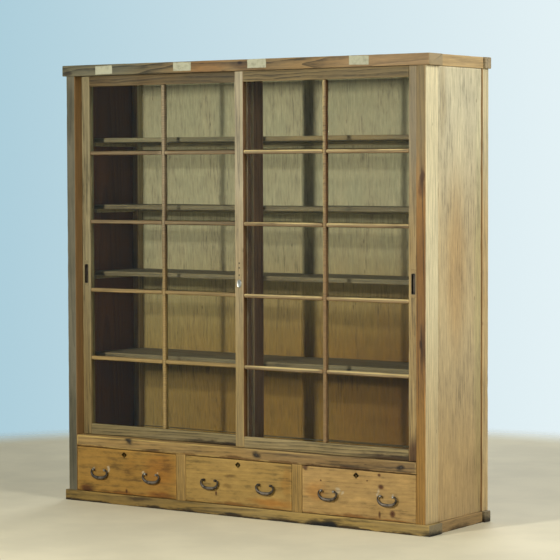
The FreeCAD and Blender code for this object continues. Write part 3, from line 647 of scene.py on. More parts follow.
def drawer_finishes(tints):
    """Three drawer fronts cut from different boards, with knots, stains and smears of paint."""
    knot = (0.56, 0.40, 0.28)
    spot = on_front("drawer_left_front", 0.03)
    darkening = [fade(0.056, 0.042, (0.72, 0.58, 0.44), 0.8)]
    board = {"ring_depth": 0.16, "streak": 0.35, "fleck": 0.6, "mottle": 1.1, "greyness": 0.06, "wear_and_light": 0.35}

    def smears(*places):
        return [spot("wash", x, z, wide, tall, (0.72, 0.66, 0.53), 0.8) for x, z, wide, tall in places]

    left = smears((-0.6475, 0.139, 0.009, 0.013), (-0.719, 0.141, 0.008, 0.009),
                  (-0.462, 0.138, 0.009, 0.010), (-0.387, 0.137, 0.007, 0.009))
    left += [spot("stain", -0.38, 0.15, 0.12, 0.10, (0.97, 0.87, 0.74), 0.8),
             spot("knot", -0.551, 0.058, 0.008, 0.012, knot, 0.9),
             spot("stain", -0.755, 0.055, 0.045, 0.022, (0.55, 0.40, 0.30), 0.9),
             spot("stain", -0.38, 0.058, 0.10, 0.02, (0.82, 0.66, 0.50), 0.8),
             spot("stain", -0.53, 0.152, 0.06, 0.05, (0.93, 0.90, 0.86), 0.7)]
    middle = [spot("stain", 0.16, 0.068, 0.16, 0.024, (0.97, 0.83, 0.66), 0.9),
              spot("knot", -0.105, 0.085, 0.007, 0.013, knot, 0.9),
              spot("stain", -0.04, 0.153, 0.04, 0.012, (0.70, 0.66, 0.60), 0.8),
              spot("stain", -0.05, 0.118, 0.035, 0.010, (0.74, 0.70, 0.62), 0.7),
              spot("stain", 0.23, 0.15, 0.03, 0.09, (0.96, 0.88, 0.76), 0.7)]
    right = smears((0.459, 0.138, 0.016, 0.012), (0.390, 0.139, 0.008, 0.008), (0.644, 0.150, 0.008, 0.018),
                   (0.642, 0.136, 0.007, 0.009), (0.711, 0.136, 0.008, 0.009), (0.483, 0.132, 0.010, 0.008))
    right += [spot("stain", 0.36, 0.13, 0.07, 0.05, (0.96, 0.86, 0.72), 0.8),
              spot("knot", 0.646, 0.212, 0.010, 0.008, knot, 0.9),
              spot("knot", 0.654, 0.168, 0.018, 0.013, knot, 0.95),
              spot("knot", 0.7045, 0.071, 0.017, 0.019, knot, 0.95),
              spot("knot", 0.648, 0.064, 0.008, 0.018, (0.55, 0.42, 0.30), 0.85),
              spot("knot", 0.3856, 0.173, 0.006, 0.005, knot, 0.95),
              spot("knot", 0.593, 0.187, 0.005, 0.004, knot, 0.95),
              spot("stain", 0.317, 0.216, 0.016, 0.010, (0.45, 0.33, 0.28), 0.9)]
    return {
        "left": timber("drawer_honey", "drawer_left_front", "X", 103.0, tints.drawer, pitch=0.014,
                       heart=(0.10, 0.02), figure=4.0, contrast=0.85, layers=darkening + left, **board),
        "middle": timber("drawer_amber", "drawer_middle_front", "X", 107.0, (0.60, 0.485, 0.25), pitch=0.014,
                         heart=(0.11, -0.03), figure=4.0, contrast=0.85, layers=darkening + middle, **board),
        "right": timber("drawer_pale", "drawer_right_front", "X", 109.0, tints.pale_drawer, pitch=0.015,
                        heart=(0.07, 0.0), figure=5.0, contrast=0.9, layers=darkening + right, **board),
    }


# Geometry trees that repeat pieces


def geometry_tree(name, sockets):
    """An empty geometry tree with a mesh in and out and the named inputs."""
    tree = bpy.data.node_groups.new(name, "GeometryNodeTree")
    tree.is_modifier = True
    tree.interface.new_socket("Geometry", in_out="INPUT", socket_type="NodeSocketGeometry")
    for label, kind in sockets:
        tree.interface.new_socket(label, in_out="INPUT", socket_type="NodeSocket" + kind)
    tree.interface.new_socket("Geometry", in_out="OUTPUT", socket_type="NodeSocketGeometry")
    return tree


def finish_tree(t, instances, given):
    """Realize what a tree has placed and give it its finish."""
    real = t.add("GeometryNodeRealizeInstances", {0: instances}).outputs[0]
    done = t.add("GeometryNodeSetMaterial", {"Geometry": real, "Material": given["Finish"]}).outputs[0]
    t.add("NodeGroupOutput", {0: done})


def repeat_tree():
    """Repeats a piece along a straight row, each copy with a tone of its own."""
    tree = bpy.data.node_groups.get("Repeat pieces")
    if tree:
        return tree
    tree = geometry_tree("Repeat pieces", (("Count", "Int"), ("Pitch", "Vector"), ("Seed", "Int"),
                                           ("Finish", "Material")))
    t = Tree(tree)
    given = t.add("NodeGroupInput").outputs
    line = t.add("GeometryNodeMeshLine", {"Count": given["Count"], "Offset": given["Pitch"]}, mode="OFFSET")
    placed = t.add("GeometryNodeInstanceOnPoints", {"Points": line.outputs[0], "Instance": given["Geometry"]})
    tone = t.add("FunctionNodeRandomValue", {"Seed": given["Seed"]}, data_type="FLOAT")
    kept = t.add("GeometryNodeStoreNamedAttribute", {"Geometry": placed.outputs[0], "Name": "row_tone"},
                 data_type="FLOAT", domain="INSTANCE")
    t.link(tone.outputs["Value"] if tone.outputs["Value"].enabled else tone.outputs[1], kept.inputs["Value"])
    finish_tree(t, kept.outputs[0], given)
    return tree


def nail_tree():
    """Puts a low domed nail head on each point, facing the front."""
    tree = geometry_tree("Nail heads", (("Radius", "Float"), ("Rise", "Float"), ("Seed", "Int"),
                                        ("Finish", "Material")))
    t = Tree(tree)
    given = t.add("NodeGroupInput").outputs
    ball = t.add("GeometryNodeMeshUVSphere", {"Segments": 14, "Rings": 8,
                                              "Radius": given["Radius"]}).outputs[0]
    squat = t.combine(1.0, t.math("DIVIDE", given["Rise"], given["Radius"]), 1.0)
    head = t.add("GeometryNodeTransform", {"Geometry": ball, "Scale": squat}).outputs[0]
    size = t.add("FunctionNodeRandomValue", {2: 0.8, 3: 1.15, "Seed": given["Seed"]},
                 data_type="FLOAT").outputs[1]
    placed = t.add("GeometryNodeInstanceOnPoints", {"Points": given["Geometry"], "Instance": head,
                                                    "Scale": size})
    finish_tree(t, placed.outputs[0], given)
    return tree


def add_object(name, data):
    thing = bpy.data.objects.new(name, data)
    bpy.context.scene.collection.objects.link(thing)
    return thing


def evaluated(host):
    """The mesh of an object with its modifiers applied."""
    graph = bpy.context.evaluated_depsgraph_get()
    return bpy.data.meshes.new_from_object(host.evaluated_get(graph))


def run_tree(mesh, tree, **values):
    """The plain mesh that a geometry tree makes of a mesh."""
    host = add_object("tree_host", mesh)
    modifier = host.modifiers.new("tree", "NODES")
    modifier.node_group = tree
    for item in tree.interface.items_tree:
        if item.in_out == "INPUT" and item.name in values:
            modifier[item.identifier] = values[item.name]
    made = evaluated(host)
    bpy.data.objects.remove(host)
    if not made.polygons:
        raise RuntimeError("the tree " + tree.name + " made nothing")
    return made


# Meshes


def new_mesh(name, points, faces=()):
    mesh = bpy.data.meshes.new(name)
    mesh.from_pydata(points, [], faces)
    return mesh


def ring_faces(rows, count, first=0):
    """Faces between rings of points, and one across each end."""
    faces = []
    for r in range(rows - 1):
        a, b = first + r * count, first + (r + 1) * count
        for j in range(count):
            k = (j + 1) % count
            faces.append((a + j, a + k, b + k, b + j))
    last = first + (rows - 1) * count
    return faces + [tuple(first + j for j in reversed(range(count))), tuple(last + j for j in range(count))]


def grid_faces(columns, rows, first=0):
    """Faces of a grid of points that are listed row by row."""
    wide = columns + 1
    corner = [first + j * wide + i for j in range(rows) for i in range(columns)]
    return [(a, a + 1, a + wide + 1, a + wide) for a in corner]


def softened(mesh, turn):
    """A mesh that is shaded softly, but for edges sharper than a turn in degrees."""
    mesh.shade_smooth()
    mesh.set_sharp_from_angle(angle=math.radians(turn))
    return mesh


def tidy(mesh, turn=SHARP_TURN, outward=False):
    """Drop collapsed faces, turn faces outward where asked and shade rounded edges softly."""
    work = bmesh.new()
    work.from_mesh(mesh)
    if outward:
        bmesh.ops.recalc_face_normals(work, faces=work.faces)
    bmesh.ops.remove_doubles(work, verts=work.verts, dist=SAME_POINT)
    bmesh.ops.dissolve_degenerate(work, dist=SAME_POINT / 10, edges=work.edges)
    work.to_mesh(mesh)
    work.free()
    return softened(mesh, turn)


def joined(name, meshes):
    """Several meshes as one."""
    work = bmesh.new()
    for mesh in meshes:
        work.from_mesh(mesh)
        bpy.data.meshes.remove(mesh)
    made = bpy.data.meshes.new(name)
    work.to_mesh(made)
    work.free()
    return softened(made, SHARP_TURN)


# Timber pieces


def section(wide, tall, arris, band, channels):
    """Points round a squared section: place, outward way, edge share and the drop into a channel."""
    half = (wide / 2, tall / 2)
    inner = [h - arris - min(band, 0.3 * h) for h in half]
    points = []
    for index, (cu, cv) in enumerate(((1, 1), (-1, 1), (-1, -1), (1, -1))):
        for step in (0, 1, 2):
            turn = math.radians(90 * index + 45 * step)
            way = (math.cos(turn), math.sin(turn))
            points.append((cu * (half[0] - arris) + arris * way[0], cv * (half[1] - arris) + arris * way[1],
                           way[0], way[1], 1.0, 0.0))
        flat_u, flat_v = ((0, 1), (-1, 0), (0, -1), (1, 0))[index]
        if flat_v:
            run = [(cu * inner[0], 0.0)]
            for c_low, c_high, side, depth in channels:
                if side == flat_v:
                    near, far = (c_low, c_high) if cu < 0 else (c_high, c_low)
                    run += [(near, 0.0), (near, depth), (far, depth), (far, 0.0)]
            run.append((-cu * inner[0], 0.0))
            points += [(u, flat_v * half[1], 0.0, flat_v, 0.0, -flat_v * drop) for u, drop in run]
        else:
            points += [(flat_u * half[0], v, flat_u, 0.0, 0.0, 0.0) for v in (cv * inner[1], -cv * inner[1])]
    return points


def stations(size, arris, band, step, open_span):
    """Rings along a timber: place, inset, edge share, end share and whether channels are open."""
    half = size / 2
    band = min(band, 0.2 * size)
    head = [(-half + place_at * arris, inset * arris, 1.0, end) for place_at, inset, end in END_ROUNDING]
    start = half - arris - band
    count = max(1, round(2 * start / step))
    body = [(-start + 2 * start * i / count, 0.0, 0.0, 0.0) for i in range(count + 1)]
    rows = head + body + [(-s, inset, edge, end) for s, inset, edge, end in reversed(head)]
    if open_span is None:
        return [row + (0.0,) for row in rows]
    low, high = open_span
    rows = [row + (1.0 if low < row[0] < high else 0.0,) for row in rows]
    for place_at, flags in ((low, (0.0, 1.0)), (high, (1.0, 0.0))):
        if -half + arris < place_at < half - arris:
            at = next(i for i, row in enumerate(rows) if row[0] > place_at)
            rows[at:at] = [(place_at, 0.0, 0.0, 0.0, flag) for flag in flags]
    return rows


class Joinery:
    """Collects timber pieces into one mesh, with each point's arris share, end share and tone; on glazing
    bars these carry painted highlight and painted shade.
    """

    def __init__(self):
        self.points, self.faces, self.marks = [], [], []

    def plank(self, low, high, grain, arris=None, tone=0.5, step=None, channels=(), open_span=None,
              darkening=None):
        """A squared timber with rounded, dented arrises between two corners, and where asked one side
        darkened as painted shade.
        """
        sizes = bpy.context.scene.cabinet_sizes
        along, across, up = AXES[grain]
        middle = [(a + b) / 2 for a, b in zip(low, high)]
        size = [b - a for a, b in zip(low, high)]
        arris = min(sizes.arris if arris is None else arris, 0.25 * min(size))
        ring = section(size[across], size[up], arris, sizes.wear_band, channels)
        rows = stations(size[along], arris, sizes.wear_band, step or sizes.station, open_span)
        self.faces += ring_faces(len(rows), len(ring), len(self.points))
        for s, inset, row_edge, end, is_open in rows:
            for u, v, way_u, way_v, edge, drop in ring:
                point = [0.0, 0.0, 0.0]
                point[along] = middle[along] + s
                point[across] = middle[across] + u - way_u * inset
                point[up] = middle[up] + v - way_v * inset + drop * is_open
                if edge and sizes.dent:
                    hollow = noise.noise(Vector(point) * 31.0 + Vector((tone * 9.1, 3.7, 1.9)))
                    dent = min(max(0.0, hollow - 0.05) * 2.0 * sizes.dent, 0.8 * arris)
                    point[across] -= way_u * dent
                    point[up] -= way_v * dent
                self.points.append(point)
                # A darkened side gets painted shade in the end share, and only the arrises opposite keep
                # their pale share, partly a painted highlight
                painted_shade, rubbed_and_lit = 0.0, max(edge, row_edge)
                if darkening:
                    facing = [math.copysign(min(1.0, max(0.0, abs(w) - size[axis] / 2 + arris) / arris), w)
                              for w, axis in ((u, across), (v, up))]
                    painted_shade = max(0.0, facing[0] * darkening[0] + facing[1] * darkening[1])
                    rubbed_and_lit *= u * darkening[0] + v * darkening[1] <= 0.0
                self.marks.append((rubbed_and_lit, max(end, painted_shade), tone))
        return self

    def mesh(self, name):
        mesh = new_mesh(name, self.points, self.faces)
        marks = mesh.attributes.new("timber", "FLOAT_VECTOR", "POINT")
        marks.data.foreach_set("vector", [c for mark in self.marks for c in mark])
        return tidy(mesh)


def solids(node):
    """Lowest and highest corners of each separate solid in a CAD node, from low to high."""
    work = bmesh.new()
    work.from_mesh(frame["nodes"][node].data)
    bmesh.ops.remove_doubles(work, verts=work.verts, dist=SAME_POINT)
    # Touching solids meet in edges of more than two faces, which are not crossed
    left, boxes = set(work.faces), []
    while left:
        start = left.pop()
        found, front = [start], [start]
        while front:
            for edge in front.pop().edges:
                for face in edge.link_faces if len(edge.link_faces) == 2 else ():
                    if face in left:
                        left.remove(face)
                        found.append(face)
                        front.append(face)
        reach = [[vert.co[i] for face in found for vert in face.verts] for i in range(3)]
        if min(max(values) - min(values) for values in reach) > FLAT:
            boxes.append((Vector(min(values) for values in reach), Vector(max(values) for values in reach)))
    work.free()
    return sorted(boxes, key=lambda box: tuple(round(c, 4) for c in box[0]))


def corners(low, high, **changes):
    """Two corners with some of their numbers changed, such as x0 or z1."""
    low, high = list(low), list(high)
    for key, value in changes.items():
        (low if key[1] == "0" else high)["xyz".index(key[0])] = value
    return low, high


def dress(mesh, material):
    """Give a mesh one material."""
    mesh.materials.clear()
    mesh.materials.append(material)


def place(name, mesh, material, body, slot, *nodes):
    """Put a finished mesh in the scene as a piece of a body."""
    if material is not None:
        dress(mesh, material)
    piece = add_object(name, mesh)
    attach(piece, body)
    if nodes:
        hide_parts(*nodes)


def timber_node(node, grain, material, body, slot, box=None, tone=0.5, **options):
    """One timber in the place of a CAD node."""
    low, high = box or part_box(node)
    mesh = Joinery().plank(low, high, grain, tone=tone, **options).mesh(node + "_timber")
    place(node + "_timber", mesh, material, body, slot, node)


def timber_group(node, grain, material, slot, tones=(0.35, 0.6, 0.45, 0.7), **options):
    """A timber for each solid of a CAD node of the cabinet's body."""
    work = Joinery()
    for index, (low, high) in enumerate(solids(node)):
        size = high - low
        along = grain if grain in AXES else "XYZ"[max(range(3), key=lambda i: size[i])]
        work.plank(low, high, along, tone=tones[index % len(tones)], **options)
    place(node + "_timber", work.mesh(node + "_timber"), material, "cabinet", slot, node)


def board_row(node, grain, pitch_axis, material, slot, seed):
    """Equal boards side by side, repeated by a geometry tree."""
    boxes = solids(node)
    base = Joinery().plank(*boxes[0], grain, tone=0.3).mesh(node + "_board")
    pitch = [0.0, 0.0, 0.0]
    pitch[pitch_axis] = boxes[1][0][pitch_axis] - boxes[0][0][pitch_axis]
    made = run_tree(base, repeat_tree(), Count=len(boxes), Pitch=pitch, Seed=seed, Finish=material)
    place(node + "_row", made, None, "cabinet", slot, node)


def recessed(mesh, low, high, radius, solver="EXACT"):
    """A timber mesh with a round-cornered pocket or rebate cut into it."""
    cutter = Joinery().plank(low, high, "Y", arris=radius, step=PLAIN_STEP).mesh("pocket")
    host, tool = add_object("host", mesh), add_object("tool", cutter)
    modifier = host.modifiers.new("pocket", "BOOLEAN")
    modifier.operation, modifier.solver, modifier.object = "DIFFERENCE", solver, tool
    made = evaluated(host)
    for item in (host, tool):
        bpy.data.objects.remove(item)
    if len(made.polygons) in (0, len(mesh.polygons)):
        raise RuntimeError("the pocket was not cut")
    return made


def door_channels(node, side):
    """The two grooves that guide the doors, as channels in a rail's section."""
    sizes = bpy.context.scene.cabinet_sizes
    low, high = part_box(node)
    middle = (low.y + high.y) / 2
    half = sizes.lip_thickness / 2 + sizes.track_clearance
    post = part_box("front_post_right")[0].x
    channels = []
    for door in SIDES:
        d_low, d_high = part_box("door_%s_meeting_stile" % door)
        centre = (d_low.y + d_high.y) / 2 - middle
        depth = high.z - d_low.z if side > 0 else d_high.z + LIP_HEADROOM - low.z
        channels.append((centre - half, centre + half, side, depth))
    channels.sort(key=lambda c: c[0], reverse=side > 0)
    return {"channels": channels, "open_span": (-post, post)}


def lipped(node, low, high, grain, ends, tone, pocket=None):
    """A door timber with the thin lips that run in the grooves, and a pocket for a finger pull."""
    box_low, box_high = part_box(node)
    middle = (low[1] + high[1]) / 2
    half = bpy.context.scene.cabinet_sizes.lip_thickness / 2
    stem = Joinery().plank(low, high, grain, tone=tone).mesh("stem")
    if pocket:
        stem = recessed(stem, *pocket)
    lips = Joinery()
    for end in ends:
        span = (box_low.z, low[2] + LIP_OVERLAP) if end == "low" else (high[2] - LIP_OVERLAP, box_high.z)
        lips.plank((low[0], middle - half, span[0]), (high[0], middle + half, span[1]), "X", arris=LIP_ARRIS,
                   tone=tone, step=0.3)
    return joined(node + "_timber", [stem, lips.mesh("lips")])


class CABINET_OT_posts_and_panels(bpy.types.Operator):
    """Front posts, rear posts and side panels"""
    bl_idname = "cabinet.posts_and_panels"
    bl_label = "Posts and Panels"

    def execute(self, context):
        tints = context.scene.cabinet_tints
        for node, finish in (("front_post_left", left_post_finish), ("front_post_right", right_post_finish)):
            timber_node(node, "Z", finish(tints), "cabinet", "frame_wood", tone=0.4)
        rear = rear_post_finish()
        for side, sign in zip(SIDES, (-1, 1)):
            node, panel = "rear_post_" + side, "side_panel_" + side
            place(node + "_timber", self.rear_post(node, sign), rear, "cabinet", "frame_wood", node)
            bare = corners(*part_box(panel), y0=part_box("front_post_left")[1].y, y1=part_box(node)[0].y)
            outside = panel_finish(side, sign, tints)
            timber_node(panel, "Z", outside, "cabinet", "panel_wood", box=bare, tone=0.5)
        return {"FINISHED"}

    def rear_post(self, node, sign):
        """A rear post with the rebate that holds the back boards."""
        low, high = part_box(node)
        board_low, board_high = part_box("back_boards")
        mesh = Joinery().plank(low, high, "Z", tone=0.3 + 0.3 * (sign > 0)).mesh(node + "_timber")
        edge = (board_high.x if sign > 0 else board_low.x) + sign * REBATE_FIT
        past = (low.x if sign > 0 else high.x) - sign * OVERRUN
        return recessed(mesh, Vector((min(edge, past), board_low.y - REBATE_FIT, low.z - OVERRUN)),
                        Vector((max(edge, past), high.y + OVERRUN, high.z + OVERRUN)), REBATE_FIT, "FAST")


class CABINET_OT_cornice_and_plinth(bpy.types.Operator):
    """Top and base frames with the boards that close the top"""
    bl_idname = "cabinet.cornice_and_plinth"
    bl_label = "Cornice and Plinth"

    def execute(self, context):
        darkening = (0.30, 0.26, 0.24)
        timber_node("cornice_front_rail", "X", cornice_finish(context.scene.cabinet_tints), "cabinet",
                    "frame_wood", tone=0.45, **door_channels("cornice_front_rail", -1))
        side_rail = timber("cornice_side", "cornice_side_rails", "Y", 9.0, (0.64, 0.545, 0.38), greyness=0.2)
        timber_group("cornice_side_rails", "Y", side_rail, "frame_wood")
        weathered = timber("weathered_rail", "cornice_rear_rail", "X", 13.0, (0.62, 0.56, 0.44), greyness=0.6)
        timber_node("cornice_rear_rail", "X", weathered, "cabinet", "frame_wood", tone=0.6)
        boards = timber("top_board", "top_boards", "X", 17.0, (0.50, 0.42, 0.29), greyness=0.5)
        board_row("top_boards", "X", 1, boards, "back_wood", 4)
        timber_node("plinth_front_rail", "X", plinth_finish(darkening), "cabinet", "frame_wood", tone=0.35)
        plinth_side = timber("plinth_side", "plinth_side_rails", "Y", 23.0, (0.56, 0.46, 0.30), greyness=0.4,
                             layers=[
            ("stain", (0.855, 0.02, 0.0), (0.05, 0.12, 0.03), (0.35, 0.32, 0.30), 0.9),
            fade(0.010, 0.0, darkening, 0.9)])
        timber_group("plinth_side_rails", "Y", plinth_side, "frame_wood")
        base_rail = timber("weathered_base", "plinth_rear_rail", "X", 13.0, (0.50, 0.45, 0.35), greyness=0.6,
                           layers=[fade(0.032, 0.010, darkening, 0.9)])
        timber_node("plinth_rear_rail", "X", base_rail, "cabinet", "frame_wood", tone=0.8)
        return {"FINISHED"}


class CABINET_OT_sill_and_dividers(bpy.types.Operator):
    """Sill with its two door tracks, and the uprights between the drawers"""
    bl_idname = "cabinet.sill_and_dividers"
    bl_label = "Sill and Dividers"

    def execute(self, context):
        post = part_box("front_post_right")[0].x
        span = door_channels("sill_rail", 1)
        # The grooves run out at both ends of the sill
        span["open_span"] = (-2 * post, 2 * post)
        timber_node("sill_rail", "X", sill_finish(context.scene.cabinet_tints), "cabinet", "frame_wood",
                    box=corners(*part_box("sill_rail"), x0=-post, x1=post), tone=0.5, **span)
        divider = timber("divider", "drawer_dividers", "Z", 31.0, (0.555, 0.445, 0.235), streak=0.6,
                         greyness=0.1, wear_and_light=0.2)
        timber_group("drawer_dividers", "Z", divider, "frame_wood")
        return {"FINISHED"}


class CABINET_OT_inside(bpy.types.Operator):
    """Back, floor, shelves, cleats, centre post and drawer runners"""
    bl_idname = "cabinet.inside"
    bl_label = "Inside"

    def execute(self, context):
        tints = context.scene.cabinet_tints
        board_row("back_boards", "Z", 0, back_finish(tints), "back_wood", 8)
        floor = timber("cabinet_floor", "cabinet_floor", "X", 41.0, tints.shelf, greyness=0.4)
        board_row("cabinet_floor", "X", 1, floor, "inner_wood", 2)
        shelf = shelf_finish(tints)
        for index in range(1, 5):
            timber_node("shelf_%d" % index, "X", shelf, "cabinet", "inner_wood", tone=0.2 * index)
        # The cleats sit in the shade under the shelves: their pale colour is painted light, so they don't
        # read as a dark band there
        cleat = timber("cleat", "shelf_cleats", "X", 47.0, (0.68, 0.60, 0.44), greyness=0.2)
        timber_group("shelf_cleats", "longest", cleat, "inner_wood", step=2 * HIDDEN_STEP)
        # The centre post stands in shade behind the doors: its colour, and most of all its pale front face,
        # are lightened as painted light
        centre = timber("centre_post", "centre_post", "Z", 53.0, (0.47, 0.335, 0.235), greyness=0.1,
                        layers=[skin("centre_post", "y0", (0.74, 0.63, 0.48), 0.9, 0.00225, 0.00075)])
        timber_node("centre_post", "Z", centre, "cabinet", "inner_wood")
        timber_group("drawer_runners", "Y", floor, "inner_wood", step=2 * HIDDEN_STEP)
        return {"FINISHED"}


class CABINET_OT_sliding_doors(bpy.types.Operator):
    """Both sliding doors: stiles, rails, bars, glass, finger pulls and lock"""
    bl_idname = "cabinet.sliding_doors"
    bl_label = "Sliding Doors"

    def execute(self, context):
        tints = context.scene.cabinet_tints
        glass = old_glass()
        stiles, rails, bars = stile_finishes(tints), door_rail_finishes(tints), bar_finishes(tints)
        door_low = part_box("sill_rail")[1].z + SHOULDER_GAP
        door_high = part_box("cornice_front_rail")[0].z - SHOULDER_GAP
        for side in SIDES:
            body = "door_" + side
            boxes = []
            for role in ("outer", "meeting"):
                node = "%s_%s_stile" % (body, role)
                boxes.append(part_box(node))
                low, high = corners(*boxes[-1], z0=door_low, z1=door_high)
                pocket = self.pocket(body) if role == "outer" else None
                mesh = lipped(node, low, high, "Z", ("low", "high"), 0.4, pocket)
                place(node + "_timber", mesh, stiles[side, role], body, "door_wood", node)
            x0, x1 = min(box[1].x for box in boxes), max(box[0].x for box in boxes)
            y0, y1 = boxes[0][0].y, boxes[0][1].y
            panes = solids(body + "_glass")
            bar_boxes = solids(body + "_glazing_bars")
            upright = max(bar_boxes, key=lambda box: box[1].z - box[0].z)
            crosses = [box for box in bar_boxes if box[1].x - box[0].x > (x1 - x0) / 2]
            crosses.sort(key=lambda box: box[0].z)
            sight = min(box[1].x for box in panes) - upright[0].x
            light_low, light_high = min(p[0].z for p in panes) + sight, max(p[1].z for p in panes) - sight
            for rail, z0, z1, end in (("top", light_high, door_high, "high"),
                                      ("bottom", door_low, light_low, "low")):
                node = "%s_%s_rail" % (body, rail)
                mesh = lipped(node, (x0, y0, z0), (x1, y1, z1), "X", (end,), 0.5)
                place(node + "_timber", mesh, rails[side, rail], body, "door_wood", node)
            self.bars(body, upright, crosses, (x0, x1), (light_low, light_high), bars[side])
            self.glass(body, panes, sight, glass)
            dress(frame["nodes"][body + "_finger_pull"].data, iron_finish())
        self.lock(tints)
        return {"FINISHED"}

    def pocket(self, body):
        """Corners and corner radius of the pocket for a finger pull."""
        low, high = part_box(body + "_finger_pull")
        ease = Vector((PULL_EASE, 0.0, PULL_EASE))
        return low - ease - Vector((0.0, OVERRUN / 2, 0.0)), high + ease, PULL_CORNER

    def bars(self, body, upright, crosses, span_x, span_z, finish):
        """One upright bar, with rows of short cross bars let in on both sides."""
        arris = bpy.context.scene.cabinet_sizes.thin_arris
        low, high = corners(*upright, z0=span_z[0], z1=span_z[1])
        # The upright's right side and the cross bars' undersides get painted shade, partly their own darker
        # wood; the arrises opposite get a pale painted highlight, partly abrasion
        stem = Joinery().plank(low, high, "Z", arris=arris, tone=0.65, darkening=(1.0, 0.0)).mesh("upright")
        stem.materials.append(finish)
        row = Joinery()
        for start, stop, tone in ((span_x[0], upright[0].x, 0.2), (upright[1].x, span_x[1], 0.8)):
            low, high = corners(*crosses[0], x0=start, x1=stop)
            row.plank(low, high, "X", arris=arris, tone=tone, darkening=(0.0, -1.0))
        pitch = (0.0, 0.0, crosses[1][0].z - crosses[0][0].z)
        made = run_tree(row.mesh("cross_bar"), repeat_tree(), Count=len(crosses), Pitch=pitch, Seed=5,
                        Finish=finish)
        node = body + "_glazing_bars"
        place(node + "_row", joined(node + "_row", [stem, made]), finish, body, "door_wood", node)

    def glass(self, body, panes, sight, finish):
        """Panes in rows, each just let into the wood round it."""
        lap = sight - PANE_LAP
        heights = sorted({round(p[0].z, 5) for p in panes})
        row = Joinery()
        for low, high in panes:
            if round(low.z, 5) == heights[0]:
                row.plank((low.x + lap, low.y, low.z + lap), (high.x - lap, high.y, high.z - lap), "X",
                          arris=PANE_ARRIS, step=PLAIN_STEP)
        pitch = (0.0, 0.0, heights[1] - heights[0])
        made = run_tree(row.mesh("pane"), repeat_tree(), Count=len(heights), Pitch=pitch, Seed=1,
                        Finish=finish)
        place(body + "_glass_row", made, None, body, "old_glass", body + "_glass")

    def lock(self, tints):
        """A dished oval plate with a raised plug and key slot."""
        low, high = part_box("door_lock")
        middle, half = (low + high) / 2, (high - low) / 2
        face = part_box("door_right_meeting_stile")[0].y
        rise = face - low.y
        count = 40
        turns = [2 * math.pi * i / count for i in range(count)]
        points = [(middle.x + half.x * wide * math.cos(turn), face - rise * lift,
                   middle.z + half.z * tall * math.sin(turn))
                  for wide, tall, lift in LOCK_RINGS for turn in turns]
        mesh = new_mesh("door_lock_plate", points, ring_faces(len(LOCK_RINGS), count))
        tidy(mesh, turn=40.0, outward=True)
        finish = metal("lock_steel", tints.steel, shine=(0.22, 0.42), rubbed_and_lit=0.0, metallic=1.0, grain=90.0)
        place("door_lock_plate", mesh, finish, "door_right", "lock_metal", "door_lock")


class CABINET_OT_drawers(bpy.types.Operator):
    """Drawer fronts, boxes, bottoms and locks"""
    bl_idname = "cabinet.drawers"
    bl_label = "Drawers"

    def execute(self, context):
        fronts = drawer_finishes(context.scene.cabinet_tints)
        bare = timber("drawer_box", "drawer_left_box", "Y", 113.0, (0.62, 0.50, 0.33), greyness=0.15)
        floor = timber("drawer_floor", "drawer_left_bottom", "X", 127.0, (0.60, 0.49, 0.33), greyness=0.2)
        for index, label in enumerate(DRAWERS):
            body = "drawer_" + label
            timber_node(body + "_front", "X", fronts[label], body, "drawer_wood", tone=0.3 + 0.2 * index)
            left, back, right = solids(body + "_box")
            sides = Joinery()
            for side, tone in ((left, 0.35), (right, 0.45)):
                sides.plank(*side, "Y", tone=tone, step=HIDDEN_STEP)
            rear = Joinery().plank(*back, "X", tone=0.6, step=HIDDEN_STEP)
            for name, work, finish in (("_box_timber", sides, bare), ("_back_timber", rear, floor)):
                place(body + name, work.mesh(body + name), finish, body, "inner_wood", body + "_box")
            timber_node(body + "_bottom", "X", floor, body, "inner_wood", step=HIDDEN_STEP)
            dress(frame["nodes"][body + "_lock"].data, iron_finish())
            dress(frame["nodes"][body + "_pull_posts"].data, iron_finish(pale=label != "middle"))
        return {"FINISHED"}


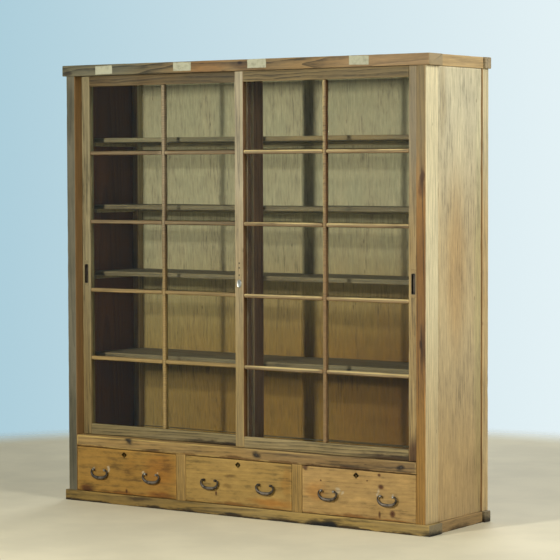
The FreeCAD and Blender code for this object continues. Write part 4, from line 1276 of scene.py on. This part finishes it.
class CABINET_OT_bail_pulls(bpy.types.Operator):
    """Bracken-shaped iron bails on the drawers"""
    bl_idname = "cabinet.bail_pulls"
    bl_label = "Bail Pulls"

    def execute(self, context):
        for label in DRAWERS:
            for side in SIDES:
                node = "drawer_%s_pull_%s" % (label, side)
                place(node + "_bail", self.bail(node), iron_finish(), node, "dark_iron", node)
        return {"FINISHED"}

    def curve(self, way, steps=5):
        """A smooth run through points of any kind, with even steps between them."""
        samples = []
        for i in range(len(way) - 1):
            around = (way[max(i - 1, 0)], way[i], way[i + 1], way[min(i + 2, len(way) - 1)])
            for t in (s / steps for s in range(steps)):
                samples.append([0.5 * (2 * b + (c - a) * t + (2 * a - 5 * b + 4 * c - d) * t * t
                                       + (3 * b - a - 3 * c + d) * t ** 3) for a, b, c, d in zip(*around)])
        return samples + [list(way[-1])]

    def bail(self, node):
        """A bent bar: thin at its pins, swelling to a broad foot."""
        sizes = bpy.context.scene.cabinet_sizes
        low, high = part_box(node)
        pivot = Vector(next(j for j in frame["joints"] if j["child"] == node)["pos_m"])
        half = (high.x - low.x) / 2
        fall = pivot.z - low.z
        samples = self.curve([(-x, *rest) for x, *rest in BAIL_RUN] + list(reversed(BAIL_RUN))[1:])
        count = 14
        points, rubbed_and_lit = [], []
        for i, (x, z, tall, deep) in enumerate(samples):
            before, after = samples[max(i - 1, 0)], samples[min(i + 1, len(samples) - 1)]
            along = Vector(((after[0] - before[0]) * half, 0.0, (after[1] - before[1]) * fall)).normalized()
            out = Vector((-along.z, 0.0, along.x))
            middle = Vector((pivot.x + x * half, pivot.y, pivot.z + z * fall))
            for k in range(count):
                turn = 2 * math.pi * k / count
                grow = 1.0 + 0.05 * noise.noise(Vector((x * 9.0, k * 0.9, z * 7.0 + pivot.x * 5.0)))
                points.append(middle + out * math.cos(turn) * tall * sizes.foot_height / 2 * grow
                              + Vector((0.0, math.sin(turn) * deep * sizes.foot_depth / 2 * grow, 0.0)))
                # The broad foot gets the pale share: partly hand polish, partly a painted highlight
                rubbed_and_lit.append(max(0.0, min(1.0, (tall - 0.6) * 2.5)))
        mesh = new_mesh(node + "_bail", points, ring_faces(len(samples), count))
        mesh.attributes.new("rubbed_and_lit", "FLOAT", "POINT").data.foreach_set("value", rubbed_and_lit)
        return tidy(mesh, turn=60.0, outward=True)


class CABINET_OT_small_things(bpy.types.Operator):
    """Nail heads in the sill and blank paper labels on the cornice"""
    bl_idname = "cabinet.small_things"
    bl_label = "Nails and Labels"

    def execute(self, context):
        sizes = context.scene.cabinet_sizes
        sunk = 0.0003
        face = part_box("sill_rail")[0].y + sunk
        points = new_mesh("nail_places", [(x, face, z) for x, z in SILL_NAILS])
        made = run_tree(points, nail_tree(), Radius=sizes.nail_radius, Rise=sizes.nail_rise, Seed=3,
                        Finish=iron_finish())
        made.shade_smooth()
        place("sill_nails", made, None, "cabinet", "dark_iron")
        paper = label_paper()
        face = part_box("cornice_front_rail")[0].y
        for index, (x, z, lean) in enumerate(LABELS):
            name = "paper_label_%d" % (index + 1)
            place(name, self.label(name, x, face, z, lean, index), paper, "cabinet", "frame_wood")
        return {"FINISHED"}

    def label(self, name, x, face, z, lean, seed):
        """A thin slip of paper with uneven edges and one lifted corner."""
        sizes = bpy.context.scene.cabinet_sizes
        wide, tall, thick = sizes.label_width / 2, sizes.label_height / 2, sizes.label_thickness
        glue, uneven, curl = 0.0001, 0.0012, 0.0014
        columns, rows = 18, 8
        points = []
        for layer in (0, 1):
            for j in range(rows + 1):
                for i in range(columns + 1):
                    u, v = 2 * i / columns - 1, 2 * j / rows - 1
                    ragged = noise.noise(Vector((u * 4.0, v * 4.0, seed * 5.3))) * uneven
                    px = u * (wide + (ragged if abs(u) == 1 else 0.0))
                    pz = v * (tall + (ragged if abs(v) == 1 else 0.0))
                    lift = curl * max(0.0, u * (-1) ** seed + v - 1.2) ** 2
                    points.append((x + px - pz * lean, face - glue - lift - thick * layer,
                                   z + pz + px * lean))
        row = columns + 1
        size = row * (rows + 1)
        faces = [tuple(reversed(quad)) for quad in grid_faces(columns, rows)]
        faces += grid_faces(columns, rows, size)
        rim = list(range(columns)) + [columns + j * row for j in range(rows)]
        rim += [rows * row + i for i in range(columns, 0, -1)] + [j * row for j in range(rows, 0, -1)]
        faces += [(a, b, size + b, size + a) for a, b in zip(rim, rim[1:] + rim[:1])]
        return tidy(new_mesh(name, points, faces), turn=40.0, outward=True)


class CABINET_OT_stage(bpy.types.Operator):
    """Pale floor, soft lamps, pale air and the camera"""
    bl_idname = "cabinet.stage"
    bl_label = "Stage"

    def execute(self, context):
        scene = context.scene
        scene.view_settings.view_transform = "Standard"
        self.floor(scene.cabinet_tints)
        self.air(scene)
        self.lamp("key_lamp", (-0.42, -3.85, 1.78), (0.24, 0.5), 106.0, (1.0, 0.97, 0.92))
        self.lamp("side_lamp", (3.6, -0.5, 2.6), (1.6, 1.6), 104.0, (1.0, 0.98, 0.95))
        self.lamp("high_lamp", (-0.42, -3.85, 2.5), (0.3, 0.3), 12.0, (1.0, 0.97, 0.92))
        self.lamp("rear_lamp", (-1.6, 4.2, 2.6), (2.0, 2.0), 90.0, (0.97, 0.98, 1.0))
        scene.camera = self.camera()
        return {"FINISHED"}

    def lamp(self, name, spot, size, power, colour):
        """A square-cornered soft lamp that points at the middle of the cabinet."""
        aim = Vector((0.0, 0.0, 0.85))
        data = bpy.data.lights.new(name, "AREA")
        data.shape, data.energy, data.color = "RECTANGLE", power, colour
        data.size, data.size_y = size
        lamp = add_object(name, data)
        lamp.location = spot
        lamp.rotation_euler = (aim - Vector(spot)).to_track_quat("-Z", "Y").to_euler()

    def background_ray(self, t):
        """1 for rays that should see the pale air: from the camera, a mirror or through glass."""
        path = t.add("ShaderNodeLightPath").outputs
        ray = t.math("MAXIMUM", path["Is Camera Ray"], path["Is Glossy Ray"])
        ray = t.math("MAXIMUM", ray, path["Is Transmission Ray"])
        return t.math("MULTIPLY", ray, t.math("LESS_THAN", path["Diffuse Depth"], 0.5))

    def air(self, scene):
        """Pale air, cool on the left and warm on the right, that gives little light."""
        world = bpy.data.worlds.new("pale_air")
        scene.world = world
        world.use_nodes = True
        world.node_tree.nodes.clear()
        t = Tree(world.node_tree)
        tints = scene.cabinet_tints
        rightward = (0.823, 0.568, 0.0)
        across = t.vector("DOT_PRODUCT", t.add("ShaderNodeTexCoord").outputs["Generated"], rightward)
        colour = t.mix(t.fit(across, -0.12, 0.12, kind="LINEAR"), rgba(tints.cool_air), rgba(tints.warm_air))
        seen = t.add("ShaderNodeBackground", {0: colour, 1: 1.0})
        soft = t.add("ShaderNodeBackground", {0: (0.93, 0.97, 1.0, 1.0), 1: 0.12})
        t.show(t.blend(self.background_ray(t), soft, seen), "World")

    def floor(self, tints):
        """A plain pale floor that melts into the air far from the cabinet."""
        reach, count = 14.0, 8
        ticks = [reach * (2 * i / count - 1) for i in range(count + 1)]
        mesh = new_mesh("floor", [(x, y, 0.0) for y in ticks for x in ticks], grid_faces(count, count))
        material, t, place_at = new_material("pale_floor")
        mottle = t.noise(place_at, scale=2.5, detail=4.0)
        colour = t.mix(t.fit(mottle, 0.35, 0.65), rgba(tints.floor, 0.93), rgba(tints.floor, 1.03))
        plain = t.add("ShaderNodeBsdfPrincipled", {"Base Color": colour, "Roughness": 0.7,
                                                   "Specular IOR Level": 0.2})
        far = t.fit(t.vector("LENGTH", place_at), 2.5, 3.1)
        fading = t.math("MULTIPLY", far, self.background_ray(t))
        t.show(t.blend(fading, plain, t.add("ShaderNodeBsdfTransparent")))
        dress(mesh, material)
        add_object("floor", mesh)

    def camera(self):
        """A long lens that looks at the front and the right side from a little above."""
        spot = (5.09496, -7.31502, 1.35131)
        yaw, pitch, roll = 0.6037, 0.0492, -0.0029
        ahead = Vector((-math.sin(yaw) * math.cos(pitch), math.cos(yaw) * math.cos(pitch), -math.sin(pitch)))
        right = Vector((math.cos(yaw), math.sin(yaw), 0.0))
        up = right.cross(ahead)
        turned_right = right * math.cos(roll) + up * math.sin(roll)
        turned_up = up * math.cos(roll) - right * math.sin(roll)
        data = bpy.data.cameras.new("camera")
        data.sensor_width = 36.0
        data.lens = 145.54
        data.clip_end = 100.0
        camera = add_object("camera", data)
        turn = Matrix((turned_right, turned_up, -ahead)).transposed()
        camera.matrix_world = Matrix.Translation(spot) @ turn.to_4x4()
        return camera


class CABINET_PT_sidebar(bpy.types.Panel):
    """Sizes, colours and steps of the cabinet"""
    bl_label = "Display Cabinet"
    bl_idname = "CABINET_PT_sidebar"
    bl_space_type = "VIEW_3D"
    bl_region_type = "UI"
    bl_category = "Cabinet"

    def draw(self, context):
        for step in STEPS:
            self.layout.operator(step.bl_idname)
        for group in (context.scene.cabinet_sizes, context.scene.cabinet_tints):
            box = self.layout.box()
            for key in group.__annotations__:
                box.prop(group, key)


STEPS = (CABINET_OT_posts_and_panels, CABINET_OT_cornice_and_plinth, CABINET_OT_sill_and_dividers,
         CABINET_OT_inside, CABINET_OT_sliding_doors, CABINET_OT_drawers, CABINET_OT_bail_pulls,
         CABINET_OT_small_things, CABINET_OT_stage)
CLASSES = (CabinetSizes, CabinetTints) + STEPS + (CABINET_PT_sidebar,)


def register():
    for item in CLASSES:
        bpy.utils.register_class(item)
    bpy.types.Scene.cabinet_sizes = bpy.props.PointerProperty(type=CabinetSizes)
    bpy.types.Scene.cabinet_tints = bpy.props.PointerProperty(type=CabinetTints)


def unregister():
    del bpy.types.Scene.cabinet_tints
    del bpy.types.Scene.cabinet_sizes
    for item in reversed(CLASSES):
        bpy.utils.unregister_class(item)


def main():
    register()
    for step in STEPS:
        family, action = step.bl_idname.split(".")
        getattr(getattr(bpy.ops, family), action)()


if __name__ == "__main__":
    main()
